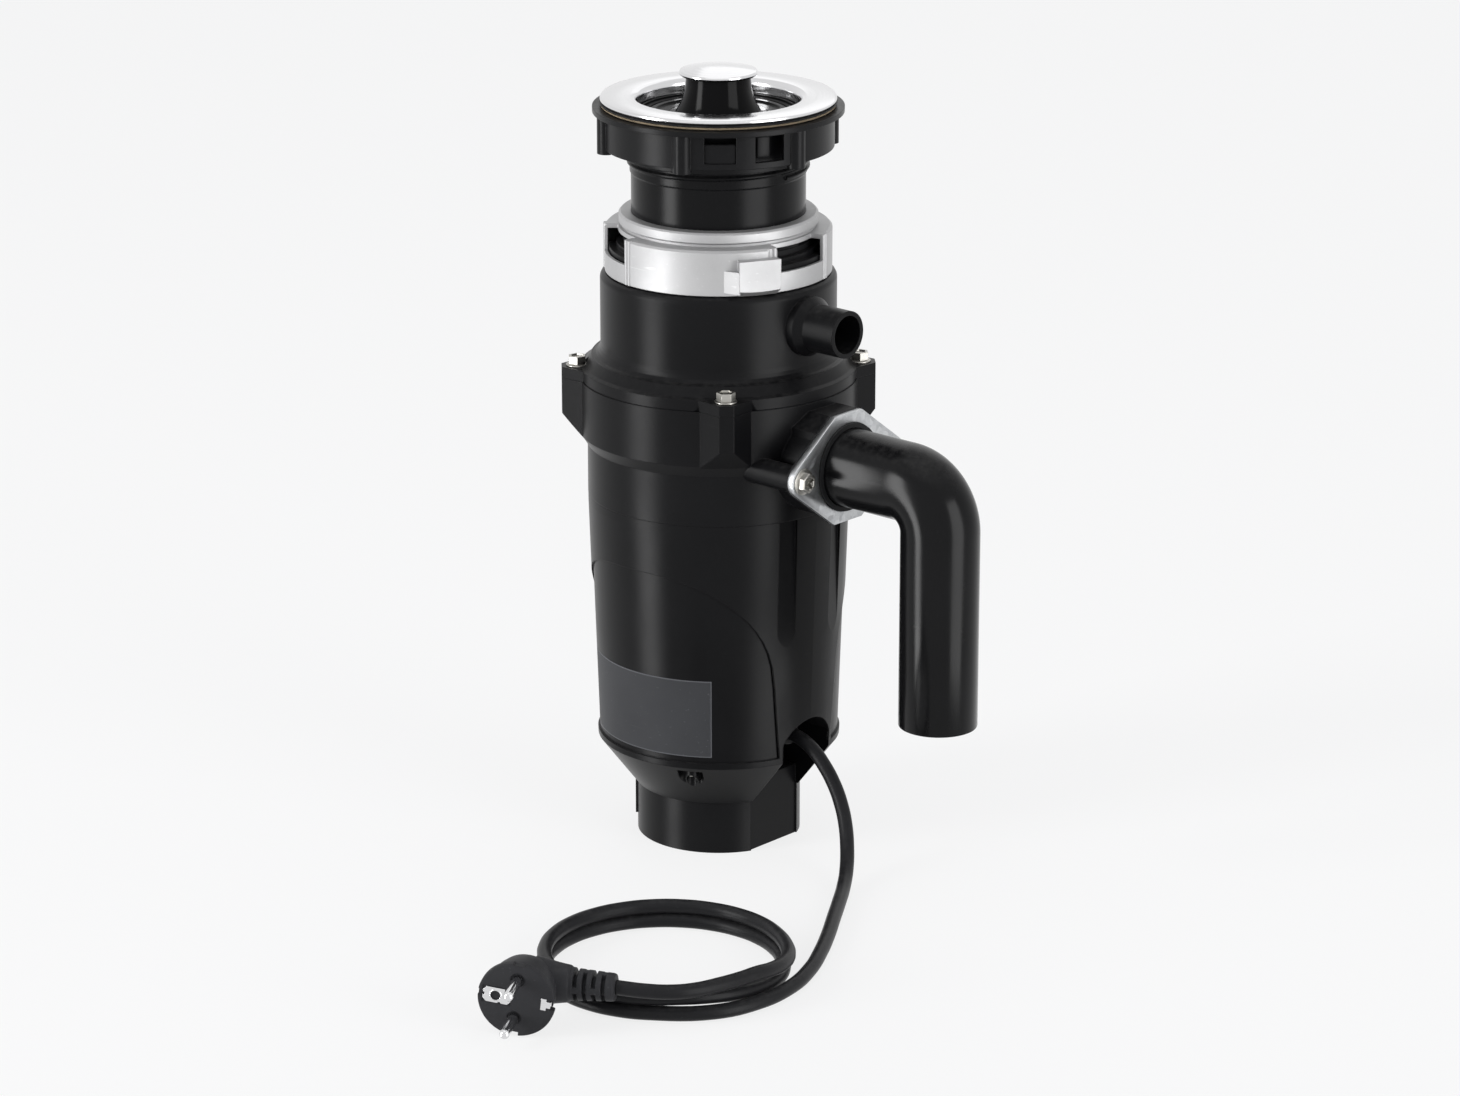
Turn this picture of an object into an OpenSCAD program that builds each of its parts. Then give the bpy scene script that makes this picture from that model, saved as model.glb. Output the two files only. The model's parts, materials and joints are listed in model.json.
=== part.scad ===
// Kitchen garbage disposal: a food waste disposer with a direct-current motor and a bayonet sink mount.
// Origin: on the axis of the unit, at the underside of its base. +Z up, +X the discharge side.

/* [Motor housing] */
// Radius of the round plinth the unit stands on
base_r = 40.6; // [39:0.1:43]
// Height of the plinth
base_h = 26.5; // [22:0.5:30]
// Distance from the axis to the flat on the discharge side of the plinth
base_flat_x = 36; // [34:0.5:37]
// Radius at the foot of the long tapered wall
shroud_low_r = 60.1; // [58.5:0.1:61]
// Height at which the long wall starts
shroud_low_z = 51; // [48:0.5:53]
// Radius at the top of the housing
shroud_top_r = 64.1; // [63.5:0.1:65]
// Height of the seam between motor housing and grind housing
seam_z = 176.5; // [174:0.5:180]
// Wall thickness of the moulded housings
shell_wall = 2.6; // [2:0.1:3.2]
// Depth of the arched panels
panel_depth = 1; // [0.6:0.1:1.4]
// Half width of the arched panels
panel_half_w = 57; // [50:0.5:57.5]
// Height of the top of the arched panels
panel_top_z = 150; // [140:1:155]
// Width of the vertical grooves beside the panels
groove_w = 10; // [6:0.5:11]
// Height of the lower end of the vertical grooves
groove_low_z = 110.8; // [105:1:130]
// Half width of the cord arch
arch_half_w = 17; // [15:0.5:18]
// Height of the crown of the cord arch
arch_top_z = 71; // [69:0.5:75]
// Height of the sill below the cord arch
arch_sill_z = 36.5; // [34:0.5:40]
// Distance from the axis to the back of the cord arch
arch_back_x = 28; // [27:0.5:32]
// Distance of the housing screws from the axis
shell_screw_r = 53.5; // [52.5:0.5:53.5]
// Width of the pockets around the housing screws
pocket_w = 12.6; // [11:0.2:13]
// Direction of the first of the three housing screws, in degrees
shell_screw_turn = -62; // [-66:1:-58]
// Thickness of the bottom cover
cover_t = 3; // [2.5:0.1:4]

/* [Grind housing] */
// Radius of the lower wall of the grind housing
grind_low_r = 64.2; // [63.9:0.1:65]
// Radius of the lug ring
lug_ring_r = 68; // [67:0.1:69]
// How far below the top of the grind housing its wall starts to widen
widen_drop = 33.3; // [31:0.1:36]
// Height of the grind housing
grind_h = 58.5; // [57.5:0.5:61]
// Inner radius of the grind chamber
chamber_r = 60.2; // [59.5:0.1:60.5]
// Thickness of the chamber floor
chamber_floor_t = 5; // [4:0.5:6]
// Half width of the lugs where they leave the ring
lug_half_w = 13; // [12:0.5:14]
// Distance from the axis to the nose of a lug
lug_nose_r = 76.6; // [75.5:0.1:78]
// Distance of the axes of the lug bolts outside the wall of the chamber
bolt_out = 8.8; // [7.8:0.1:9.8]
// Radius of the lug bolts
bolt_r = 2.5; // [2:0.1:3]

/* [Hopper] */
// Height of the hopper's lower rim
rim_h = 5.5; // [4.5:0.1:6.5]
// Radius of the hopper's straight wall
hopper_r = 57.6; // [57:0.1:58.5]
// Height of the hopper up to its shoulder
hopper_h = 53; // [51:0.5:53.4]
// Radius of the bayonet neck
neck_r = 49.5; // [48.5:0.1:50]
// Height of the neck above the shoulder
neck_h = 15; // [13:0.5:16]
// How far the axis of the dishwasher inlet lies below the shoulder
inlet_drop = 18.2; // [17:0.1:20]
// Outer radius of the dishwasher inlet
inlet_r = 11.55; // [10.5:0.05:12]
// Bore radius of the dishwasher inlet
inlet_bore_r = 9.3; // [8:0.1:9.6]
// Distance from the axis to the end of the dishwasher inlet
inlet_end_x = 82.7; // [79:0.1:88]

/* [Discharge] */
// How far the axis of the outlet lies below the top of the grind housing
outlet_drop = 30.5; // [29:0.5:32]
// Outer radius of the discharge pipe
pipe_r = 19.05; // [18:0.05:19.4]
// Wall of the discharge pipe
pipe_wall = 1.8; // [1.5:0.1:2.4]
// Bend radius of the discharge pipe
bend_r = 21; // [20.5:0.5:26]
// Distance from the axis to the centre of the downward leg
pipe_drop_x = 141.5; // [136:0.5:146]
// Height of the open end of the discharge pipe
pipe_end_z = 87; // [80:1:110]
// Distance from the axis to the face the discharge flange is clamped to
pad_x = 80; // [78:0.5:82]
// Thickness of the discharge flange
plate_t = 3; // [2:0.1:4]
// Distance of the flange screws from the pipe axis
plate_screw_y = 33.2; // [32.5:0.1:34]

/* [Sink mount] */
// How far the mounting ring's skirt stands out from the bayonet neck
ring_out = 5.7; // [5.4:0.1:6.2]
// Height of the top of the mount ring above the shoulder
collar_rise = 29.5; // [27:0.5:32]
// Radius of the mounting ring's collar
collar_r = 48.35; // [47:0.05:50]
// Radius of the plain sleeve
sleeve_r = 42.3; // [42:0.1:43]
// Radius of the threaded stretch of the sleeve
thread_r = 44.2; // [43.8:0.1:45]
// Height of the underside of the sink flange above the shoulder
mount_h = 84.4; // [83:0.1:86]
// Radius of the sink flange
flange_r = 57; // [55:0.5:60]
// Thickness of the sink flange
flange_t = 1.6; // [1.2:0.1:2]
// Radius of the drum of the mounting nut
nut_r = 56; // [54:0.5:57]
// Radius of the rim of the mounting nut
nut_rim_r = 60.75; // [59.9:0.05:63]
// Height of the mounting nut's drum
nut_h = 19.2; // [17:0.1:21]
// Number of grip ribs on the mounting nut
nut_ribs = 6; // [4:1:8]
// Radius of the stopper's knob
knob_r = 19; // [17:0.5:21]
// Height of the top of the knob above the underside of the flange
knob_rise = 15.6; // [12.6:0.2:19.6]

/* [Motor] */
// Outer radius of the motor can
can_r = 48; // [47:0.5:49]
// Height of the foot of the motor can
can_low_z = 78; // [77.7:0.1:80]
// Wall thickness of the motor can
can_wall = 2; // [1.5:0.1:2.5]
// Outer radius of the rotor core
core_r = 37; // [36:0.1:38]
// Number of slots in the rotor core
core_slots = 12; // [8:1:16]
// Radius of the shaft
shaft_r = 6; // [5.5:0.1:6.2]
// Radius of the commutator
commutator_r = 14; // [13:0.1:15]

/* [Grinder] */
// Radius of the turntable
turntable_r = 56.6; // [55:0.1:57]
// Distance of the impeller pivots from the axis
pivot_r = 38; // [37:0.5:39]
// Number of notches in the grind ring
ring_notches = 24; // [12:1:30]

/* [Hidden] */

$fn = 96;
eps = 0.01;
// Standing clearance between pieces that don't fit, and the radial clearances of running and snug fits
gap = 0.3;
run = 0.06;
snug = 0.1;

// How far a cutting shape reaches past the face that it opens
past = 1;

// Heights, each on the one below
hopper_seam_z = seam_z + grind_h;
grind_widen_z = hopper_seam_z - widen_drop;
hopper_top_z = hopper_seam_z + hopper_h;
neck_top_z = hopper_top_z + neck_h;
inlet_z = hopper_top_z - inlet_drop;
outlet_z = hopper_seam_z - outlet_drop;
collar_top_z = hopper_top_z + collar_rise;
flange_under_z = hopper_top_z + mount_h;
knob_top_z = flange_under_z + knob_rise;

// Housing
step_r = base_r + 0.9;
taper_top_z = seam_z - 4;
inner_base_r = base_r - shell_wall;
cavity_top_r = shroud_top_r - shell_wall;
panel_curve = 2.8;
panel_low_z = shroud_low_z + 3;
panel_mid_z = panel_top_z - 60;
groove_turn = 16;
groove_depth = 2;
arch_rise = 11;
arch_r = (pow(arch_half_w, 2) + pow(arch_rise, 2)) / (2 * arch_rise);
arch_side_z = arch_top_z - arch_rise;
rib_turn = -137;
screw_post_r = 3.2;
screw_head_r = 2.4;
pocket_in_r = shell_screw_r - 1.2;
pocket_top_z = shroud_low_z - 2;
pocket_corner_r = 3;
boss_top_z = shroud_low_z + 3;
lower_ear_z = boss_top_z + 0.01;
cover_screw_r = 31;
cover_screws = 3;
cover_screw_turn = 90;
post_r = 4;
post_h = 7;
small_screw_r = 1.5;
small_head_r = 3;
reset_y = -20;
reset_r = 4;
protector_l = 22;
protector_w = 16;
protector_h = 15;
rectifier_l = 26;
rectifier_w = 16;
rectifier_h = 4;
rectifier_y = 8;
heat_sink_l = 18;
heat_sink_w = 12;
heat_sink_h = 9;
heat_sink_y = 10;

function wall_r(z) = shroud_low_r
    + (shroud_top_r - shroud_low_r) * (z - shroud_low_z) / (taper_top_z - shroud_low_z);

// Grind chamber
floor_top_z = seam_z + chamber_floor_t;
spigot_h = 6;
grind_ring_z = hopper_seam_z - 13;
grind_ring_t = 2;
grind_ring_in_r = chamber_r - snug - grind_ring_t;
notch_w = 4;
notch_top = 7;
ledge_w = 3;
turntable_z = grind_ring_z + 2;
turntable_t = 2.5;
lug_turns = [45, 135, 225, 315];
bolt_circle_r = chamber_r + bolt_out;
lug_low_z = grind_widen_z + 3.5;
lug_nose_half_w = 3.5;
lug_root_r = lug_ring_r - 14;
lug_heel_r = lug_root_r + 2;
lug_face_r = lug_ring_r - 2;
lug_slope_h = 13;
widen_h = 6;
spigot_w = 6;
hub_wall = 2;
hub_fillet = 3;
floor_fillet = 4;
bolt_hole_l = 14;
bolt_l = 13;
bolt_flange_t = 1.2;
bolt_head_h = 4;
bolt_flange_r = 2.2 * bolt_r;
rim_top_z = hopper_seam_z + rim_h;
seal_in_r = chamber_r + 1.4;
seal_w = 2.2;
seal_h = 1.6;

// Hopper
hopper_wall = 3;
hopper_in_r = hopper_r - hopper_wall;
band_z = rim_top_z + 5.5;
flare_z = band_z + 6;
flare_r = 62;
rim_inset = 0.5;
rim_chamfer = 2;
shoulder_r = 3.5;
neck_wall = 4.5;
ramps = 3;
ramp_half_turn = 22;
ramp_z = neck_top_z - 6;
ramp_h = 3.5;
ring_r = neck_r + ring_out;
ramp_r = ring_r - 2.2;
inlet_root_r = inlet_r + 3;
inlet_in = 6;
inlet_root_l = 2.5;
inlet_cone_l = 4;

// Discharge
outlet_bore_r = pipe_r - pipe_wall;
port_r = 26;
port_top_z = outlet_z + 26.7;
port_root_x = lug_root_r;
port_half_w = 20;
port_crest_half_w = 10;
port_side_z = outlet_z + 12;
port_shoulder_z = outlet_z + 20;
boss_pad_r = 6.5;
boss_web_w = 8;
boss_web_h = 5;
boss_web_in = 2;
plate_screw_hole_l = 14;
plate_screw_l = 12;
washer_r = 6.4;
washer_t = 1;
hex_head_r = 4.9;
hex_head_h = 3.6;
hex_head_dip = 0.2;
collar_disc_r = pipe_r + 4.2;
collar_disc_t = 2.4;
seal_ring_r = pipe_r + 2.6;
gasket_t = 1;
plate_x = pad_x + gasket_t;
plate_half_w = 41;
plate_tip_r = 8;
plate_top_z = port_top_z;
plate_low_z = outlet_z - 27;
discharge_screw_r = 2.4;

// Sink mount
ring_wall = 1.6;
ring_low_z = hopper_top_z + 0.6;
ring_band_z = ring_low_z + 8.4;
ring_plate_z = neck_top_z + 5.4;
ring_plate_t = 2.2;
window_half_turn = 17.5;
ring_chamfer = 1.2;
collar_foot = 1.4;
collar_chamfer = 1;
bead_r = 1.2;
bead_turns = [window_half_turn + 1.4, window_half_turn + 3.8];
grip_turn = -28.4;
grip_half_turn = 10;
grip_r = 59.6;
grip_h = 17.7;
gusset_turn = 6.8;
gusset_low_z = ring_low_z + 1.4;
gusset_h = 11;
cushion_h = 2.8;
cushion_z = neck_top_z + eps;
sleeve_low_z = cushion_z + cushion_h;
sleeve_lip_t = 2;
sleeve_lip_r = 46.6;
sleeve_top_z = flange_under_z - 4.6;
thread_low_z = flange_under_z - 34;
throat_r = 39;
sleeve_in_r = throat_r - snug * 2;
ledge_z = flange_under_z - 16.4;
ledge_t = 3;
ledge_in_r = 36.2;
flange_tube_z = flange_under_z - 10;
flange_roll_w = 5;
flange_roll_h = 8;
rubber_t = 1.8;
fibre_t = 1.4;
fibre_r = 57.4;
fibre_top_z = flange_under_z - rubber_t;
nut_top_z = fibre_top_z - fibre_t;
nut_rim_t = 2.5;
nut_rib_w = 9;
nut_rib_r = nut_rim_r - 1.35;
nut_rib_turn = -66;
nut_low_z = nut_top_z - nut_h;
nut_skirt_r = 49.4;
nut_skirt_h = 4;
nut_bore_r = thread_r + run;
nut_wall = 2.4;
nut_hub_wall = 3;
nut_window_w = 15;
nut_window_turn = 31.5;
nut_window_spread = 12.5;
guard_flange_z = ledge_z + ledge_t + eps;
guard_flange_t = 2.4;
guard_lip_t = 1.2;
guard_r = throat_r - 0.5;
guard_throat_r = 35;
guard_flaps = 6;
guard_tip_r = 9;
guard_depth = 26;
stopper_z = guard_flange_z + guard_flange_t + gap;
stopper_seal_r = guard_r - guard_lip_t - gap;
stopper_disc_r = stopper_seal_r - 2.5;
stopper_disc_t = 3.6;
knob_t = 4;
knob_low_z = knob_top_z - knob_t;
knob_lip_r = 1.2;
knob_dome_z = 2.3;
stopper_foot_z = stopper_z + 0.6;
stem_r = 15.2;
stem_foot = 5.5;
stem_head = 0.5;
stem_power = 2.2;

// Motor
can_top_z = seam_z - 20.5;
frame_top_t = 7;
frame_top_r = wall_r(can_top_z) - shell_wall - 2;
hub_r = 22;
outlet_start_x = hub_r + 12;
bearing_r = 16;
bearing_h = 9;
outer_race_t = 2.4;
inner_race_t = 2.2;
hub_top_z = floor_top_z + 4;
frame_post_r = 5;
frame_post_at = 48;
frame_hole_r = 7;
frame_hole_at = 38;
frame_screw_h = 3;
seal_cup_r = 15;
lower_frame_t = 4;
lower_hub_r = 17;
ear_r = 3.6;
lower_hub_z = can_low_z - 12;
lower_bearing_r = 13;
lower_bearing_h = 8;
lower_hole_r = 8;
lower_hole_at = 33;
lower_arm_w = 7;
lower_arm_in = 8;
magnet_t = 7.5;
magnet_half_turn = 68;
core_low_z = can_low_z + 28;
core_top_z = can_top_z - 14;
slot_w = 4;
slot_depth = 13;
winding_overhang = 8;
winding_r = core_r - 4;
commutator_z = can_low_z + 4;
commutator_h = 15;
brush_w = 7;
brush_z = commutator_z + 3;
brush_l = 11;
holder_l = 25;
holder_wall = 1;
spring_l = holder_l - brush_l - 2 * gap;
shaft_low_z = can_low_z - 11;
shaft_top_z = turntable_z + turntable_t + 12;

// Impellers
pin_r = 3;
pin_top_z = turntable_z + turntable_t + 9;
arm_l = 16;
arm_half_w = 5.5;
arm_t = 4;

// Cord: round, chosen points of the two free stretches, and the coil between them
cord_r = 3.5;
coil_x = 111;
coil_y = -160;
coil_r = 56;
coil_band = 4;
coil_h = 14.2;
lead_points = [[48, 0, 60], [55, 0, 58.5], [62, 0.5, 54.6], [69, 0.5, 48.5], [76, 0, 40.5], [82, -1.5, 32],
    [87.5, -4.5, 23.5], [93.5, -10, 14.5], [100.5, -18.5, 7.5], [109, -30.5, 4], [119.5, -46, 3.5],
    [131.5, -64, 3.5], [143.5, -82, 3.5], [154.5, -100, 3.5], [164.5, -119, 3.5], [171.5, -140, 3.5],
    [172.5, -163, 3.5], [165, -186, 3.5], [149, -202.5, 3.5]];
tail_points = [[166, -131, 11], [168.5, -143, 13.5], [170, -157, 15.6], [169.5, -171, 16.8],
    [167.5, -185, 17.3], [164, -197.5, 17.6], [158.3, -207.2, 18], [149.5, -215.3, 18.6], [138.3, -222.1, 19.3]];
cord_sides = 10;
ring_steps = 2;

// Plug
plug_turn = 30;
plug_tilt = 3;
plug_centre = [113, -261.4, 18.2];
plug_disc_r = 18;
plug_depth = 28;
relief_low_r = 7.2;
relief_end_r = 5.8;
gland_l = 17.6;
relief_back = 21.4;
relief_at = 20.4;
relief_l = 21;
relief_slots = 3;
relief_slot_w = 1.8;
relief_core = 6.4;

module ring_at(n, r, first = 0) for (i = [0 : n - 1])
    rotate([0, 0, first + 360 * i / n]) translate([r, 0, 0]) children();

module tube(ro, ri, z0, z1) translate([0, 0, z0]) difference() {
    cylinder(r = ro, h = z1 - z0);
    translate([0, 0, -1]) cylinder(r = ri, h = z1 - z0 + 2);
}

module disc(r, z0, z1) translate([0, 0, z0]) cylinder(r = r, h = z1 - z0);

module along_x(x) translate([x, 0, outlet_z]) rotate([0, 90, 0]) children();

// Wedge of a revolved band between two heights, centred on +X
module sector(ro, ri, half_turn, z0, z1) rotate([0, 0, -half_turn])
    rotate_extrude(angle = 2 * half_turn) translate([ri, z0]) square([ro - ri, z1 - z0]);

/* Motor housing: plinth, sloped foot and tapered wall in one moulding */

module housing_profile(cut) polygon([[0, -cut], [base_r - cut * shell_wall, -cut],
    [base_r - cut * shell_wall, base_h + cut], [step_r - cut * shell_wall, base_h + cut],
    [shroud_low_r - cut * shell_wall, shroud_low_z + cut],
    [shroud_top_r - cut * shell_wall, taper_top_z], [shroud_top_r - cut * shell_wall, seam_z + cut],
    [0, seam_z + cut]]);

module panel_outline() {
    half = [for (a = [0 : 6 : 90]) [panel_half_w * pow(sin(a), 2 / panel_curve),
        panel_mid_z + (panel_top_z - panel_mid_z) * pow(cos(a), 2 / panel_curve)]];
    polygon(concat([for (p = half) p], [[panel_half_w, panel_low_z], [-panel_half_w, panel_low_z]],
        [for (i = [len(half) - 1 : -1 : 1]) [-half[i][0], half[i][1]]]));
}

module panel_cut(side) intersection() {
    difference() {
        disc(shroud_top_r + 4, panel_low_z - 2, panel_top_z + 2);
        rotate_extrude() polygon([[0, panel_low_z - 3],
            [wall_r(panel_low_z - 3) - panel_depth, panel_low_z - 3],
            [wall_r(panel_top_z + 3) - panel_depth, panel_top_z + 3], [0, panel_top_z + 3]]);
    }
    rotate([90, 0, 0]) translate([0, 0, side > 0 ? -shroud_top_r - 5 : 5])
        linear_extrude(height = shroud_top_r) panel_outline();
}

module groove_cut(turn) rotate([0, 0, turn]) translate([shroud_top_r - groove_depth, 0, 0]) {
    translate([0, -groove_w / 2, groove_low_z + groove_w / 2]) cube([10, groove_w, seam_z]);
    translate([0, 0, groove_low_z + groove_w / 2]) rotate([0, 90, 0]) cylinder(r = groove_w / 2, h = 10);
}

module cord_arch(grow, from_x, low_z) translate([from_x, 0, 0]) rotate([90, 0, 90])
    linear_extrude(height = shroud_top_r + 5 - from_x) intersection() {
        union() {
            translate([0, arch_top_z - arch_r]) circle(r = arch_r + grow);
            translate([-arch_half_w - grow, low_z]) square([2 * (arch_half_w + grow), arch_side_z - low_z]);
        }
        translate([-arch_half_w - grow, low_z]) square([2 * (arch_half_w + grow), arch_top_z + grow - low_z]);
    }

// Upright slot with rounded inner corners, open outwards
module screw_pocket(grow, top_z) translate([pocket_in_r - grow, 0, base_h + 4])
    linear_extrude(height = top_z - base_h - 4) {
        translate([pocket_corner_r, -pocket_w / 2 - grow]) square([20, pocket_w + 2 * grow]);
        translate([0, -pocket_w / 2 - grow + pocket_corner_r])
            square([10, pocket_w + 2 * (grow - pocket_corner_r)]);
        for (side = [-1, 1]) translate([pocket_corner_r, side * (pocket_w / 2 + grow - pocket_corner_r)])
            circle(r = pocket_corner_r);
    }

module motor_housing() color("#26272a") difference() {
    union() {
        difference() {
            rotate_extrude() housing_profile(0);
            rotate_extrude() housing_profile(1);
        }
        intersection() {
            rotate_extrude() housing_profile(0);
            union() {
                cord_arch(shell_wall, base_flat_x - shell_wall, 0);
                cord_arch(shell_wall, arch_back_x - shell_wall, arch_sill_z - shell_wall);
                ring_at(3, 0, shell_screw_turn) screw_pocket(shell_wall, boss_top_z);
            }
        }
        ring_at(cover_screws, cover_screw_r, cover_screw_turn) difference() {
            disc(post_r, cover_t + eps, cover_t + post_h);
            disc(small_screw_r, cover_t - 1, cover_t + post_h + 1);
        }
        ring_at(cover_screws, cover_screw_r + post_r - 1, cover_screw_turn)
            translate([0, -1.5, cover_t + eps]) cube([inner_base_r - cover_screw_r - post_r + 1.4, 3, post_h]);
        rotate([0, 0, rib_turn]) translate([base_r - 0.6, -1.2, 7]) cube([1.7, 2.4, base_h - 8]);
    }
    cord_arch(0, base_flat_x, -1);
    cord_arch(0, arch_back_x, arch_sill_z);
    for (side = [-1, 1]) panel_cut(side);
    for (turn = [-groove_turn, groove_turn, 180 - groove_turn, 180 + groove_turn]) groove_cut(turn);
    ring_at(3, 0, shell_screw_turn) difference() {
        screw_pocket(0, pocket_top_z);
        translate([shell_screw_r, 0, 0]) disc(screw_post_r, base_h, boss_top_z);
    }
    ring_at(3, shell_screw_r, shell_screw_turn) {
        disc(screw_head_r + gap, base_h, shroud_low_z - 4);
        disc(small_screw_r + run, base_h, boss_top_z + 1);
    }
    translate([arch_back_x - shell_wall - 1, 0, arch_side_z]) rotate([0, 90, 0])
        cylinder(r = relief_low_r + snug, h = 6);
}

module bottom_cover() color("#1e1f21") difference() {
    disc(inner_base_r - gap, 0, cover_t);
    translate([0, 0, -1]) cord_flat_cut();
    ring_at(cover_screws, cover_screw_r, cover_screw_turn) {
        disc(small_screw_r + 0.3, -1, cover_t + 1);
        disc(small_head_r + 0.4, -1, cover_t - 1.2);
    }
    translate([0, reset_y, 0]) disc(reset_r + gap, -1, cover_t + 1);
}

module cord_flat_cut() translate([base_flat_x - shell_wall - gap, -base_r, 0])
    cube([20, 2 * base_r, cover_t + 2]);

module bottom_cover_screws() color("#b9bcc0") ring_at(cover_screws, cover_screw_r, cover_screw_turn) {
    disc(small_head_r, 0.3, cover_t - 1.2);
    disc(small_screw_r - 0.02, 0.3 + eps, cover_t + post_h - 1);
}

module housing_screws() color("#b9bcc0") ring_at(3, shell_screw_r, shell_screw_turn) {
    disc(screw_head_r, shroud_low_z - 6, shroud_low_z - 4 - eps);
    disc(small_screw_r, shroud_low_z - 5, lower_ear_z + lower_frame_t);
}

/* Grind housing: bowl under the turntable, with the discharge port and four lugs */

module lug_plan() polygon([[lug_root_r, -lug_half_w], [lug_face_r, -lug_half_w],
    [lug_nose_r, -lug_nose_half_w], [lug_nose_r, lug_nose_half_w],
    [lug_face_r, lug_half_w], [lug_root_r, lug_half_w]]);

module lugs(z0, z1) for (turn = lug_turns) rotate([0, 0, turn]) translate([0, 0, z0])
    linear_extrude(height = z1 - z0) lug_plan();

module lug_envelope() rotate_extrude() polygon([[lug_heel_r, lug_low_z], [lug_face_r, lug_low_z],
    [lug_nose_r + past, lug_low_z + lug_slope_h], [lug_nose_r + past, rim_top_z + past],
    [lug_heel_r, rim_top_z + past]]);

module port_block() {
    along_x(port_root_x) cylinder(r = port_r, h = pad_x - port_root_x);
    translate([port_root_x, 0, 0]) rotate([90, 0, 90]) linear_extrude(height = pad_x - port_root_x)
        polygon([[-port_half_w, port_side_z], [port_half_w, port_side_z], [port_half_w, port_shoulder_z],
            [port_crest_half_w, port_top_z], [-port_crest_half_w, port_top_z],
            [-port_half_w, port_shoulder_z]]);
    for (side = [-1, 1]) {
        translate([0, side * plate_screw_y, 0]) along_x(plate_screw_y)
            cylinder(r = boss_pad_r, h = pad_x - plate_screw_y);
        translate([plate_screw_y, side * (port_r - boss_web_in) - boss_web_w / 2, outlet_z - boss_web_h / 2])
            cube([pad_x - plate_screw_y, boss_web_w, boss_web_h]);
    }
}

module grind_housing() color("#2a2b2e") difference() {
    union() {
        rotate_extrude() polygon([[hub_r + snug, seam_z], [cavity_top_r - spigot_w, seam_z],
            [cavity_top_r - spigot_w, seam_z - spigot_h],
            [cavity_top_r - snug, seam_z - spigot_h], [cavity_top_r - snug, seam_z], [grind_low_r, seam_z],
            [grind_low_r, grind_widen_z], [lug_ring_r, grind_widen_z + widen_h], [lug_ring_r, hopper_seam_z],
            [hub_r + snug, hopper_seam_z]]);
        intersection() {
            lugs(lug_low_z, hopper_seam_z);
            lug_envelope();
        }
        port_block();
    }
    disc(chamber_r, grind_ring_z, hopper_seam_z + past);
    rotate_extrude() polygon([[hub_r + hub_wall + hub_fillet, floor_top_z],
        [chamber_r - ledge_w - floor_fillet, floor_top_z], [chamber_r - ledge_w, floor_top_z + floor_fillet],
        [chamber_r - ledge_w, hopper_seam_z], [0, hopper_seam_z], [0, floor_top_z + hub_fillet],
        [hub_r + hub_wall, floor_top_z + hub_fillet]]);
    tube(seal_in_r + seal_w, seal_in_r, hopper_seam_z - seal_h, hopper_seam_z + past);
    along_x(outlet_start_x) cylinder(r = outlet_bore_r, h = pad_x);
    along_x(pad_x - collar_disc_t - gap) cylinder(r = collar_disc_r + gap, h = 10);
    for (side = [-1, 1]) translate([0, side * plate_screw_y, 0]) along_x(pad_x - plate_screw_hole_l)
        cylinder(r = discharge_screw_r + run, h = plate_screw_hole_l + 6);
    for (turn = lug_turns) rotate([0, 0, turn]) translate([bolt_circle_r, 0, 0])
        disc(bolt_r + run, hopper_seam_z - bolt_hole_l, hopper_seam_z + past);
    ring_at(4, frame_post_at, 45) disc(small_screw_r + run, seam_z - 1, seam_z + chamber_floor_t - 1.5);
}

module housing_seal() color("#141415")
    tube(seal_in_r + seal_w - snug, seal_in_r + snug, hopper_seam_z - seal_h + eps, hopper_seam_z - eps);

module lug_bolts() color("#d3d0c4")
    for (turn = lug_turns) rotate([0, 0, turn]) translate([bolt_circle_r, 0, 0]) {
        disc(bolt_r, hopper_seam_z - bolt_l, rim_top_z + 0.5);
        disc(bolt_flange_r, rim_top_z + eps, rim_top_z + bolt_flange_t);
        translate([0, 0, rim_top_z + 1]) cylinder(r = bolt_flange_r - 0.9, h = bolt_head_h, $fn = 6);
    }

/* Hopper: upper chamber with flared foot, dishwasher inlet and bayonet neck */

module hopper_outside() rotate_extrude() polygon(concat(
    [[0, hopper_seam_z], [lug_ring_r - rim_inset, hopper_seam_z], [lug_ring_r - rim_inset, rim_top_z],
        [lug_ring_r - rim_inset - rim_chamfer, rim_top_z + 1], [flare_r, band_z]],
    [for (a = [10 : 20 : 90]) [flare_r - (flare_r - hopper_r) * sin(a),
        flare_z - (flare_z - band_z) * cos(a)]],
    [[hopper_r, hopper_top_z - shoulder_r]],
    [for (a = [15 : 25 : 90]) [hopper_r - shoulder_r + shoulder_r * cos(a),
        hopper_top_z - shoulder_r + shoulder_r * sin(a)]],
    [[neck_r, hopper_top_z], [neck_r, neck_top_z], [0, neck_top_z]]));

module hopper_inside() rotate_extrude() polygon([[0, hopper_seam_z - 1], [chamber_r - 2, hopper_seam_z - 1],
    [chamber_r - 2, hopper_seam_z], [hopper_in_r, flare_z], [hopper_in_r, hopper_top_z - 8],
    [neck_r - neck_wall, hopper_top_z - 2], [neck_r - neck_wall, neck_top_z + 1], [0, neck_top_z + 1]]);

module inlet_along() translate([0, 0, inlet_z]) rotate([0, 90, 0]) children();

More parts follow.
